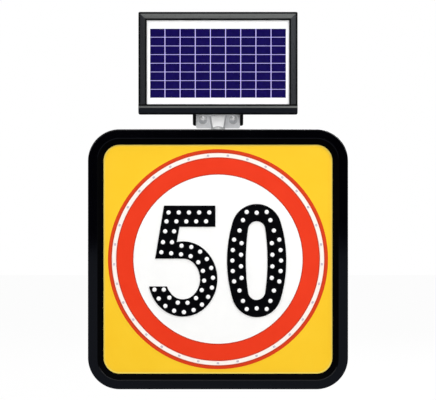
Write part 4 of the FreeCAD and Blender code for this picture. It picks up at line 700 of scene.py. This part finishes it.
def joined(parts):
    """Several lists of points and faces as one."""
    starts = np.cumsum([0] + [len(np.reshape(points, (-1, 3))) for points, _ in parts])
    points = np.concatenate([np.reshape(points, (-1, 3)) for points, _ in parts])
    shifted = [[int(v) + start for v in face] for (_, faces), start in zip(parts, starts) for face in faces]
    return points, shifted


def centres(node, axis, high, apart_mm=11.0):
    """The middle in mm of each separate end face of a CAD piece: its points on one plane, gathered by
    nearness."""
    points = points_of(node)
    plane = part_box(node)[1 if high else 0][axis] / MM
    points = np.unique(np.round(points[abs(points[:, axis] - plane) < ON_PLANE], 3), axis=0)
    near = np.linalg.norm(points[:, None] - points[None], axis=-1) < apart_mm
    label = np.arange(len(points))
    for _ in range(len(points)):
        lowest = np.where(near, label[None], len(points)).min(axis=1)
        if (lowest == label).all():
            break
        label = lowest
    return np.array([points[label == k].mean(axis=0) for k in np.unique(label)])


# %% [markdown]
# ## Softened edges
# A real extrusion, casting or moulding has no knife edge: each catches a thin line of light. The CAD pieces
# are sharp, and their meshes are loose triangles. So a copy of each one that shows is merged, its flat
# triangles are joined into whole faces, and a Bevel modifier rounds every edge over 30 degrees by a fraction
# of a millimetre, as a deburred edge is. The copy then stands in for the CAD piece.

# %% Softened copies
BEVEL_STEPS = 2
FLAT_WITHIN = 0.5


def softened(node, width_mm, crease=30):
    """The CAD piece's copy, with edges rounded to width_mm. It keeps the finish that the piece wears."""
    mesh = NODES[node].data.copy()
    work = bmesh.new()
    work.from_mesh(mesh)
    bmesh.ops.remove_doubles(work, verts=work.verts, dist=DOUBLES * MM)
    bmesh.ops.dissolve_limit(work, angle_limit=math.radians(FLAT_WITHIN), verts=work.verts, edges=work.edges)
    work.to_mesh(mesh)
    work.free()
    soft = show(node + "_softened", mesh, NODES[node].data.materials[0], BODY[node], [node], crease)
    bevel = soft.modifiers.new("edges", "BEVEL")
    bevel.width = width_mm * MM
    bevel.segments = BEVEL_STEPS
    bevel.limit_method = "ANGLE"
    bevel.angle_limit = math.radians(crease)
    bevel.harden_normals = True
    return soft


EDGE_WIDTH = {"rear_case": 0.8, "battery_hatch": 0.7, "lower_rail": 0.4, "upper_rail": 0.4, "post_nuts": 0.4,
              "rear_saddle": 0.8, "panel_bracket": 0.9, "junction_box": 0.6, "digit_five": 0.35,
              "digit_zero": 0.35, "front_saddle": 0.8}
for node, width in EDGE_WIDTH.items():
    softened(node, width)
print("softened copies of", len(EDGE_WIDTH), "pieces")

# %% [markdown]
# ## The bezel
# The bezel is one moulded ring. It could be cut from a solid, but its section is the same all round, so the
# section is carried round the housing's outline: at each step the outline gives a corner's centre and the way
# outwards, and a point of the section lies at that centre plus (corner radius - inset) along that way. The
# section's corners are eased with small curves, and the crest between the two bands catches a thin light.

# %% Carried profiles
BESIDE = 0.05


def eased(corners, radii, steps=4, closed=True):
    """Rounds a profile's corners: each becomes a curve (1-s)^2 A + 2s(1-s) P + s^2 B, with A and B a radius
    before and after the corner P. A point just outside each curve keeps the flats flat."""
    corners = np.asarray(corners, float)
    s = np.linspace(0, 1, steps + 1)[:, None]
    rows = []
    for k, (point, r) in enumerate(zip(corners, radii)):
        last, following = corners[k - 1], corners[(k + 1) % len(corners)]
        if r == 0 or (not closed and k in (0, len(corners) - 1)):
            rows.append(point[None])
            continue
        back = (last - point) / np.linalg.norm(last - point)
        ahead = (following - point) / np.linalg.norm(following - point)
        a = point + r * back
        b = point + r * ahead
        curve = (1 - s) ** 2 * a + 2 * s * (1 - s) * point + s**2 * b
        rows += [(a + BESIDE * back)[None], curve, (b + BESIDE * ahead)[None]]
    return np.concatenate(rows)


def carried(profile, width, height, corner_r, middle=(0, 0), steps=12, closed=True):
    """A profile of (inset, y) carried round an upright rounded rectangle: centre + (radius - inset) * way."""
    corner_turn = np.linspace(0, math.pi / 2, steps + 1)
    turn = np.concatenate([quarter * math.pi / 2 + corner_turn for quarter in range(4)])
    sides = np.repeat(np.array([(1, 1), (-1, 1), (-1, -1), (1, -1)]), steps + 1, axis=0)
    arm = sides * (np.array([width, height]) / 2 - corner_r) + np.asarray(middle)
    reach = corner_r - profile[:, :1]
    x = arm[:, 0] + reach * np.cos(turn)
    z = arm[:, 1] + reach * np.sin(turn)
    y = np.broadcast_to(profile[:, 1:], x.shape)
    faces = grid_faces(len(profile), len(turn), closed_rows=closed).tolist()
    if not closed:
        last = (len(profile) - 1) * len(turn)
        faces += [list(range(len(turn))), list(range(last, last + len(turn)))]
    return np.stack([x, y, z], axis=-1), faces


# %% [markdown]
# The section goes from the rear edge over a flat band 25 mm wide, down a slope 17 mm wide to the face, and
# back along the inner wall. The slope's faces get a slot of their own, because they are matt.

# %% Bezel
bezel_low, bezel_high = (np.array(corner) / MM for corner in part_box("front_bezel"))
CASE_SIZE = bezel_high[0] - bezel_low[0]
BEZEL_FRONT = bezel_low[1]
BEZEL_REAR = 18.0
FLAT_BAND = 25.0
MATT_FROM = FLAT_BAND + 0.8
WALL = 3.5
BEZEL_CORNERS = [(0, BEZEL_REAR), (0, 0), (FLAT_BAND, 0), (42, 7), (42, 10.5), (21.5, 10.5), (21.5, WALL),
                 (WALL, WALL), (WALL, BEZEL_REAR)]
BEZEL_RADII = [0.3, 3.0, 1.4, 0.9, 0.5, 0, 0, 0, 0.3]

section = eased(BEZEL_CORNERS, BEZEL_RADII, steps=5) + (0, BEZEL_FRONT)
points, faces = carried(section, CASE_SIZE, CASE_SIZE, CORNER_R, steps=20)
ring = piece("bezel_ring", points, faces, bezel_abs, "housing", ["front_bezel"], crease=40)
ring.data.materials.append(slope_abs)
middles = np.empty(len(ring.data.polygons) * 3)
ring.data.polygons.foreach_get("center", middles)
middles = middles.reshape(-1, 3) / MM
beyond = np.maximum(abs(middles[:, [0, 2]]) - (CASE_SIZE / 2 - CORNER_R), 0)
inset = CORNER_R - np.hypot(beyond[:, 0], beyond[:, 1])
matt = inset > MATT_FROM
ring.data.polygons.foreach_set("material_index", matt.astype(np.int32))
print("matt faces", int(matt.sum()))

# %% [markdown]
# ## The panel's frame
# Four aluminium extrusions, anodised dark grey, hold the pane in a groove. Plain bars would do from afar, but
# the light draws the real section: a flat edge, a broad bevel up to a crest, and a low lip beside the pane.
# So each rail is its section drawn out straight. The upper corners are mitred and the lower ones butted.
# The bevels are brushed along the rail. Their tone is painted light: bevels that face up are painted palest
# and those that face down darkest, as light from above would make them. The flats and edges are nearly black.

# %% Frame finish
EDGE_SLANT = (0.8, 0.86)
FLAT_SLANT = (0.965, 0.985)
FRAME_FINISH = {}
for run, stretch in (("across", (0.05, 1, 1)), ("upright", (1, 1, 0.05))):
    made, tree, shader = finish("dark_anodised_painted_light_" + run, "#66686a", 0.3, 0.92)
    facing = add(tree, "ShaderNodeSeparateXYZ", {0: add(tree, "ShaderNodeTexCoord").outputs["Normal"]})
    slant = add(tree, "ShaderNodeMath", {0: facing.outputs[1]}, operation="ABSOLUTE").outputs[0]
    no_edge = spread(tree, slant, 0.0, 1.0, *EDGE_SLANT)
    no_flat = spread(tree, slant, 1.0, 0.0, *FLAT_SLANT)
    bevel = add(tree, "ShaderNodeMath", {0: no_edge, 1: no_flat}, operation="MULTIPLY")
    lines = noise(tree, 0.6, stretch)
    strokes = spread(tree, noise(tree, 8, stretch), 0.0, 1.0)
    # Painted light: a paler colour on bevels that face up and a darker one on those that face down, as light from above
    # would shade them.
    up = spread(tree, facing.outputs[2], 0.0, 1.0, 0.1, 0.2)
    under = spread(tree, facing.outputs[2], 1.0, 0.0, -0.2, -0.1)
    brushed_and_painted_light = blend(tree, strokes, "#54565a", "#5f6165")
    brushed_and_painted_light = blend(tree, up, brushed_and_painted_light, blend(tree, strokes, "#686a69", "#747675"))
    brushed_and_painted_light = blend(tree, under, brushed_and_painted_light, blend(tree, strokes, "#3b3d42", "#44464b"))
    tree.links.new(blend(tree, bevel.outputs[0], "#1b1c1e", brushed_and_painted_light), shader.inputs["Base Color"])
    tree.links.new(spread(tree, lines, 0.26, 0.36), shader.inputs["Roughness"])
    relief(tree, shader, lines, 0.012)
    FRAME_FINISH[run] = made
wear("corner_keys", FRAME_FINISH["across"])
print("frame finishes", sorted(FRAME_FINISH))

# %% [markdown]
# An extrusion's section is a closed outline. Here it goes from the outer edge over bevel, crest and lip, back
# through the groove that holds the pane, and round the hollow box to the flange behind.

# %% Frame sections
FRAME_R = 4.0
FRAME_DEPTH = 25.0
EDGE_DEPTH = 5.2
LIP_DEPTH = 2.3
GROOVE_FRONT = 3.6
GROOVE_BACK = 7.9
GROOVE_HOLD = 8.0
FRAME_WALL = 2.5
JAW = 2.0
BACK_FLANGE = 20.0


def frame_section(width, edge, crest, lip):
    """An extrusion's outline as (inset from the panel's edge, depth): edge, bevel, crest, lip, groove, box
    and flange."""
    inner = width - FRAME_WALL
    ledge = GROOVE_BACK + JAW
    corners = [(0, FRAME_DEPTH), (0, EDGE_DEPTH), (edge, EDGE_DEPTH - 0.2), (crest, 0), (lip, LIP_DEPTH),
               (width, LIP_DEPTH), (width, GROOVE_FRONT), (width - GROOVE_HOLD, GROOVE_FRONT),
               (width - GROOVE_HOLD, GROOVE_BACK), (inner, GROOVE_BACK), (inner, ledge), (FRAME_WALL, ledge),
               (FRAME_WALL, FRAME_DEPTH - JAW), (BACK_FLANGE, FRAME_DEPTH - JAW), (BACK_FLANGE, FRAME_DEPTH)]
    return eased(corners, [0.6, 0.7, 0.4, 0.5, 0.3, 0.4] + [0] * 7 + [0.3, 0.3], steps=3)


def drawn_rail(section, ends):
    """Insets and places along a rail, one loop of the section each. At turn t of the corner's arc a loop
    stands r - r sin t short of the end, and nothing lies nearer the edge than r - r cos t. A mitre stops each
    point short by its inset."""
    insets, alongs = [], []
    for side, (end, r, mitred) in zip((-1, 1), ends):
        turn = np.radians(np.linspace(0, 45 if mitred else 90, 5))[::side, None]
        inset = np.maximum(section[:, 0], r - r * np.cos(turn))
        short = np.broadcast_to(r - r * np.sin(turn), inset.shape)
        insets.append(inset)
        alongs.append(end - side * (np.maximum(short, inset) if mitred else short))
    return np.concatenate(insets), np.concatenate(alongs)


# %% [markdown]
# The three narrow rails share one section, and the lower rail has a wider one with its crest further out. At
# the panel's corners the outer edge follows a small arc.

# %% Frame rails
side_section = frame_section(width=23.0, edge=5.0, crest=18.4, lip=18.7)
low_section = frame_section(width=27.5, edge=4.0, crest=17.0, lip=22.8)
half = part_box("panel_rail_top")[1][0] / MM
frame_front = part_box("panel_rail_top")[0][1] / MM
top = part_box("panel_rail_top")[1][2] / MM
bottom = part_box("panel_rail_bottom")[0][2] / MM
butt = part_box("panel_rail_left")[0][2] / MM
RAILS = {
    "top": (side_section, "across", top, -1, ((-half, FRAME_R, True), (half, FRAME_R, True))),
    "bottom": (low_section, "across", bottom, 1, ((-half, FRAME_R, False), (half, FRAME_R, False))),
    "left": (side_section, "upright", -half, 1, ((butt, 0, False), (top, FRAME_R, True))),
    "right": (side_section, "upright", half, -1, ((butt, 0, False), (top, FRAME_R, True))),
}
for name, (section, run, edge, inwards, ends) in RAILS.items():
    inset, along = drawn_rail(section, ends)
    across = edge + inwards * inset
    x, z = (along, across) if run == "across" else (across, along)
    points = np.stack([x, np.broadcast_to(frame_front + section[:, 1], x.shape), z], axis=-1)
    loops, size = x.shape
    last = (loops - 1) * size
    faces = grid_faces(loops, size).tolist() + [list(range(size)), list(range(last, last + size))]
    piece(name + "_frame_rail", points, faces, FRAME_FINISH[run], "panel", ["panel_rail_" + name], crease=22)

# %% [markdown]
# Each cell is a thin wafer with a broken edge and clipped corners, which catch the light as cut silicon does.
# A box would look printed. All the wafers are one piece, as the CAD part's row is.

# %% Silicon cells
WAFER_BREAK = 0.1
WAFER_R = 0.5
wafer_edge = np.array([(0, cells_high[1]), (0, cells_low[1] + WAFER_BREAK), (WAFER_BREAK, cells_low[1])])
wafers = []
for i in range(CELL_COUNT[0]):
    for k in range(CELL_COUNT[1]):
        steps_off = np.array([i, k]) - (np.array(CELL_COUNT) - 1) / 2
        middle = FIELD_MIDDLE + steps_off * CELL_PITCH
        wafers.append(carried(wafer_edge, *WAFER, WAFER_R, middle, steps=1, closed=False))
piece("silicon_cells", *joined(wafers), silicon, "panel", ["solar_cells"])

# %% [markdown]
# ## Turned pieces
# Lenses, bolts, screws and glands are all profiles turned about an axis. A row of the grid has one radius and
# one height, and a radius may also change with the turn: a hexagon's is half its width across flats over the
# cosine of the angle from the nearest flat. Local heights are then pointed along the way that a piece faces.

# %% Turning helpers
TURN = np.arange(48) * 2 * math.pi / 48
WAYS = {
    "front": ((1, 0, 0), (0, 0, 1), (0, -1, 0)),
    "rear": ((-1, 0, 0), (0, 0, 1), (0, 1, 0)),
    "up": ((1, 0, 0), (0, 1, 0), (0, 0, 1)),
    "down": ((1, 0, 0), (0, -1, 0), (0, 0, -1)),
    "left": ((0, -1, 0), (0, 0, 1), (-1, 0, 0)),
    "right": ((0, 1, 0), (0, 0, 1), (1, 0, 0)),
}


def turned(rows, way, places, turn=TURN, closed=False):
    """Point (row, turn): its radius times the cosine and sine of the turn, at its height, seen along the way."""
    r = np.array([np.broadcast_to(radius, turn.shape) for radius, _ in rows], float)
    h = np.broadcast_to(np.array([height for _, height in rows], float)[:, None], r.shape)
    local = np.stack([r * np.cos(turn), r * np.sin(turn), h], axis=-1).reshape(-1, 3)
    local = local @ np.array(WAYS[way], float)
    faces = grid_faces(len(rows), len(turn), closed_rows=closed)
    return joined([(local + place, faces) for place in places])


def hexagon(across):
    """A hexagon's radius at each turn."""
    return across / 2 / np.cos((TURN + math.pi / 6) % (math.pi / 3) - math.pi / 6)


def hex_rows(across, low, high, tip=0.0):
    """A hexagon head's rows: its corners are cut by a 30 degree cone, as on a real forged head."""
    crown = 0.47 * across
    cut = (hexagon(across) - crown) * math.tan(math.pi / 6)
    radius = hexagon(across)
    levels = [(radius, low), (radius, high - cut.max()), (crown, high), (crown * 0.9, high - tip), (0, high - tip)]
    return levels


def shank_rows(r, length):
    """A bolt's shank from its chamfered tip up to its seat at height 0."""
    return [(0, -length), (r - 0.6, -length), (r, -length + 0.6), (r, 0)]


def button_rows(r, height, socket):
    """A button head: a quarter arch from its rim to a hexagon socket of half its height."""
    arch = np.linspace(0, math.pi / 2, 6)
    mouth = 0.62 * socket
    dome = [(mouth + (r - mouth) * math.cos(a), 0.15 * height + 0.85 * height * math.sin(a)) for a in arch]
    well = [(hexagon(socket), height - 0.15), (hexagon(socket), 0.45 * height), (0, 0.4 * height)]
    return [(r, 0)] + dome + well


# %% [markdown]
# ## The lenses
# Each lens is a low dome on a short straight skirt. It could be a squashed sphere, but a turned profile gives
# the small rounded shoulder that catches the light. The CAD part holds a plain cap at each place, and the
# domes stand exactly on those.

# %% Lenses
LENS_R = 6.2
LENS_HEIGHT = 3.0
SKIRT = 0.7
LENS_TURN = np.arange(20) * 2 * math.pi / 20
arch = np.linspace(0, math.pi / 2, 6)
lens_rows = [(LENS_R, 0.0)] + [(LENS_R * math.cos(a) ** 0.8, SKIRT + (LENS_HEIGHT - SKIRT) * math.sin(a)) for a in arch]
for digit in ("five", "zero"):
    places = centres(digit + "_lamps", 1, high=True)
    points, faces = turned(lens_rows, "front", places, LENS_TURN)
    piece(digit + "_lenses", points, faces, lens, "housing", [digit + "_lamps"], crease=60)

# %% [markdown]
# ## The light band and its chips
# The band is an extruded silicone strip bent into a circle, so its section has rounded shoulders. Each chip is
# a small moulded block whose outline is a rounded rectangle: a superellipse, |x/a|^6 + |z/b|^6 = 1.

# %% Light band
band_low, band_high = (np.array(corner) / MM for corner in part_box("halo_strip"))
BAND_OUTER = band_high[2]
BAND_WIDTH = 12.0
BAND_HEIGHT = band_high[1] - band_low[1]
BAND_TURN = np.arange(192) * 2 * math.pi / 192
edge = np.linspace(0, 1, 5)
shoulder = np.stack([1.6 * (1 - np.sqrt(1 - (1 - edge) ** 2)), BAND_HEIGHT * edge], axis=-1)
band_rows = [(BAND_OUTER - w, h) for w, h in shoulder] + [(BAND_OUTER - BAND_WIDTH + w, h) for w, h in shoulder[::-1]]
points, faces = turned(band_rows, "front", [(0, band_high[1], 0)], BAND_TURN, closed=True)
piece("light_band", points, faces, silicone, "housing", ["halo_strip"], crease=50)

# %% Chips
CHIP_COUNT = 33
CHIP_HALF = (3.5, 2.8)
CHIP_HEIGHT = 0.8
CHIP_TURN = np.arange(16) * 2 * math.pi / 16 + math.pi / 16
outline = (abs(np.cos(CHIP_TURN) / CHIP_HALF[0]) ** 6 + abs(np.sin(CHIP_TURN) / CHIP_HALF[1]) ** 6) ** (-1 / 6)
chip_rows = [(outline, 0), (outline, 0.55), (outline - 0.25, CHIP_HEIGHT), (0.6 * outline, CHIP_HEIGHT), (0, 0.7)]
chip, chip_faces = turned(chip_rows, "front", [(0, 0, BAND_WIDTH / 2 - BAND_OUTER)], CHIP_TURN)
chips = []
for k in range(CHIP_COUNT):
    angle = 2 * math.pi * k / CHIP_COUNT
    spin = np.array([(math.cos(angle), 0, math.sin(angle)), (0, 1, 0), (-math.sin(angle), 0, math.cos(angle))])
    chips.append((chip @ spin + (0, band_low[1], 0), chip_faces))
piece("band_chips", *joined(chips), chip_resin, "housing", ["halo_leds"], crease=50)

# %% [markdown]
# ## Bolts and screws
# The two clamp bolts are hexagon bolts with a broad coned washer and a slightly domed head. The other screws are
# button heads with a hexagon socket, the usual choice against tampering, and those that a moving part
# passes over are countersunk. All could be bought shapes from a library, but turned profiles place their
# seats exactly on the CAD faces.

# %% Clamp bolts and nuts
WASHER_R = 11.9
clamp_heads = centres("clamp_bolts", 1, high=False)
clamp_low, clamp_high = (np.array(corner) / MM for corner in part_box("clamp_bolts"))
HEAD_RISE = 6.9
clamp_heads[:, 1] = clamp_low[1] + HEAD_RISE
bolt_rows = shank_rows(4.0, clamp_high[1] - clamp_low[1] - HEAD_RISE)
bolt_rows += [(WASHER_R - 0.2, 0), (WASHER_R, 0.2), (WASHER_R, 0.7), (WASHER_R - 0.3, 0.9), (7.2, 1.5)]
bolt_rows += hex_rows(13.0, 1.6, HEAD_RISE - 0.9)[:2]
bolt_rows += [(5.9 * math.cos(a), HEAD_RISE - 0.9 + 0.9 * math.sin(a)) for a in np.linspace(0, math.pi / 2, 6)]
points, faces = turned(bolt_rows, "front", clamp_heads)
piece("hexagon_clamp_bolts", points, faces, polished_zinc, "swivel", ["clamp_bolts"])

nut_low, nut_high = (np.array(corner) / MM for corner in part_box("clamp_nuts"))
nut_places = clamp_heads.copy()
nut_places[:, 1] = nut_low[1]
nut_height = nut_high[1] - nut_low[1]
crown = 6.1
cut = (hexagon(13.0) - crown).max() * math.tan(math.pi / 6)
nut_rows = [(4.05, 0), (crown, 0), (hexagon(13.0), cut), (hexagon(13.0), nut_height - cut), (crown, nut_height),
            (4.6, nut_height), (4.05, nut_height - 0.5)]
points, faces = turned(nut_rows, "rear", nut_places, closed=True)
piece("clamp_hexagon_nuts", points, faces, plated_zinc, "swivel", ["clamp_nuts"])

# %% Screws behind, and in the panel's bracket
SCREWS = {
    "bezel_screws": ("corner_button_screws", 4.8, 3.0, 3.0, 2.5),
    "hatch_screws": ("hatch_button_screws", 4.8, 3.0, 3.0, 2.5),
    "bracket_screws": ("bracket_button_screws", 5.8, 3.0, 4.0, 3.0),
}
for node, (name, head_r, head, socket, shank_r) in SCREWS.items():
    seats = centres(node, 1, high=True)
    seats[:, 1] -= head
    length = seats[0, 1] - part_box(node)[0][1] / MM
    points, faces = turned(shank_rows(shank_r, length) + button_rows(head_r, head, socket), "rear", seats)
    piece(name, points, faces, plated_zinc, BODY[node], [node])

FLANGE_R, FLANGE, RAIL_HEAD = 7.5, 1.2, 4.0
seats = centres("rail_bolts", 1, high=True)
seats[:, 1] -= RAIL_HEAD
length = seats[0, 1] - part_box("rail_bolts")[0][1] / MM
rail_rows = shank_rows(4.0, length) + [(FLANGE_R - 0.2, 0), (FLANGE_R, 0.3), (FLANGE_R - 0.3, FLANGE)]
points, faces = turned(rail_rows + hex_rows(11.0, FLANGE + 0.2, RAIL_HEAD, tip=0.2), "rear", seats)
piece("rail_flange_bolts", points, faces, plated_zinc, "housing", ["rail_bolts"])

# %% Countersunk screws
def sunk_rows(head_r, head, shank_r, length, socket):
    """A countersunk screw whose flat top is at height 0: a shank, a cone, a thin rim and a hexagon socket."""
    rows = [(0, -length), (shank_r - 0.5, -length), (shank_r, -length + 0.5), (shank_r, -head), (head_r - 0.1, -0.15),
            (head_r - 0.25, 0), (0.62 * socket, 0)]
    return rows + [(hexagon(socket), -0.1), (hexagon(socket), -0.6 * head), (0, -0.7 * head)]


tops = centres("mast_screws", 2, high=True)
length = (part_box("mast_screws")[1][2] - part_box("mast_screws")[0][2]) / MM
points, faces = turned(sunk_rows(6.0, 2.0, 3.0, length, 4.0), "up", tops)
piece("mast_sunk_screws", points, faces, plated_zinc, "housing", ["mast_screws"])

sides = []
for way, high in (("left", False), ("right", True)):
    ends = centres("tilt_bolts", 0, high=high)
    sides.append(turned(sunk_rows(7.5, 3.5, 4.0, 13.8, 5.0), way, ends))
piece("tilt_sunk_bolts", *joined(sides), plated_zinc, "swivel", ["tilt_bolts"])

# %% [markdown]
# ## Glands, vent and cap
# A cable gland is a hexagon body, a ribbed cap nut and a soft ring that grips the cable. The ribs are radii
# that step in and out round the turn. The vent is a flat hexagon plug with a dome, and the mast's cap has a
# rounded rim.

# %% Glands
RIBS = np.where(np.arange(48) % 4 < 2, 1.0, 0.955)


def gland_rows(across, bore, spigot_r, depth, height):
    """A gland's rows in proportion to its hexagon: spigot, hexagon with cut corners, collar, ribbed cap, mouth."""
    half = across / 2
    low, middle = 0.36 * height, 0.75 * height
    return [(bore, -depth), (spigot_r - 0.4, -depth), (spigot_r, -depth + 0.4), (spigot_r, 0), (0.94 * half, 0),
            (hexagon(across), 0.5), (hexagon(across), low - 0.5), (0.94 * half, low), (0.88 * half, low),
            (0.88 * half, low + 0.5), (0.94 * half * RIBS, low + 0.8), (0.94 * half * RIBS, middle),
            (0.8 * half, 0.9 * height), (0.66 * half, 0.98 * height), (0.56 * half, height), (bore, 0.97 * height)]


gland_low, gland_high = (np.array(corner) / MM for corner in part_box("cable_gland"))
case_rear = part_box("rear_case")[1][1] / MM
gland_place = [((gland_low[0] + gland_high[0]) / 2, case_rear, (gland_low[2] + gland_high[2]) / 2)]
rows = gland_rows(18.0, 3.5, 6.0, case_rear - gland_low[1], gland_high[1] - case_rear)
points, faces = turned(rows, "rear", gland_place, closed=True)
piece("ribbed_cable_gland", points, faces, nylon, "housing", ["cable_gland"], crease=30)

small_low, small_high = (np.array(corner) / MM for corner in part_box("junction_gland"))
box_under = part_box("junction_box")[0][2] / MM
small_place = [((small_low[0] + small_high[0]) / 2, (small_low[1] + small_high[1]) / 2, box_under)]
rows = gland_rows(8.6, 3.0, 4.0, small_high[2] - box_under, box_under - small_low[2])
points, faces = turned(rows, "down", small_place, closed=True)
piece("ribbed_panel_gland", points, faces, nylon, "panel", ["junction_gland"], crease=30)

# %% Vent and cap
vent_low, vent_high = (np.array(corner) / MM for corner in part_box("vent_plug"))
vent_place = [((vent_low[0] + vent_high[0]) / 2, case_rear, (vent_low[2] + vent_high[2]) / 2)]
vent_rows = [(0, 0), (6.6, 0), (hexagon(14.0), 0.3), (hexagon(14.0), 1.3), (6.4, 1.6), (5.6, 1.7), (5.4, 2.3), (4.4, 2.8),
             (2.6, 3.0), (0, 3.0)]
points, faces = turned(vent_rows, "rear", vent_place)
piece("breather_vent", points, faces, nylon, "housing", ["vent_plug"], crease=30)

cap_low, cap_high = (np.array(corner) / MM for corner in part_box("mast_cap"))
mast_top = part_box("mast_stub")[1][2] / MM
cap_place = [(0, (cap_low[1] + cap_high[1]) / 2, mast_top)]
rim = [(19.0 - 1.6 * (1 - math.cos(a)), 1.4 + 1.6 * math.sin(a)) for a in np.linspace(0, math.pi / 2, 6)]
cap_rows = [(0, cap_low[2] - mast_top), (16.0, cap_low[2] - mast_top), (16.4, cap_low[2] - mast_top + 0.5), (16.4, 0),
            (18.8, 0), (19.0, 0.25)] + rim + [(0, 3.0)]
points, faces = turned(cap_rows, "up", cap_place)
piece("rounded_mast_cap", points, faces, nylon, "housing", ["mast_cap"], crease=40)

# %% [markdown]
# ## The panel's pane and box lid
# The pane is a sheet with ground edges: a profile carried round a rectangle, closed by one flat face in front
# and one behind. Its back stays a hair ahead of the cells, because two faces in one plane would flicker. The
# junction box's lid is made the same way, with a softer edge.

# %% Pane and lid
glass_low, glass_high = (np.array(corner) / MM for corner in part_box("panel_glass"))
AHEAD = 0.15
pane_back, pane_front = glass_high[1] - AHEAD, glass_low[1]
rim = np.array([(0.4, pane_back), (0.0, pane_back - 0.4), (0.0, pane_front + 0.4), (0.4, pane_front)])
pane_size = glass_high - glass_low
pane_middle = (glass_low[[0, 2]] + glass_high[[0, 2]]) / 2
points, faces = carried(rim, pane_size[0], pane_size[2], 2.0, pane_middle, steps=4, closed=False)
piece("coated_pane", points, faces, glass, "panel", ["panel_glass"])

lid_low, lid_high = (np.array(corner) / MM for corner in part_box("junction_lid"))
thick = lid_high[1] - lid_low[1]
lid_edge = eased([(6.0, 0), (0, 0), (0, thick), (6.0, thick)], [0, 0.3, 1.6, 0], closed=False) + (0, lid_low[1])
lid_size = lid_high - lid_low
points, faces = carried(lid_edge, lid_size[0], lid_size[2], 6.0, (lid_low[[0, 2]] + lid_high[[0, 2]]) / 2, steps=8,
                        closed=False)
piece("rounded_box_lid", points, faces, nylon, "panel", ["junction_lid"])
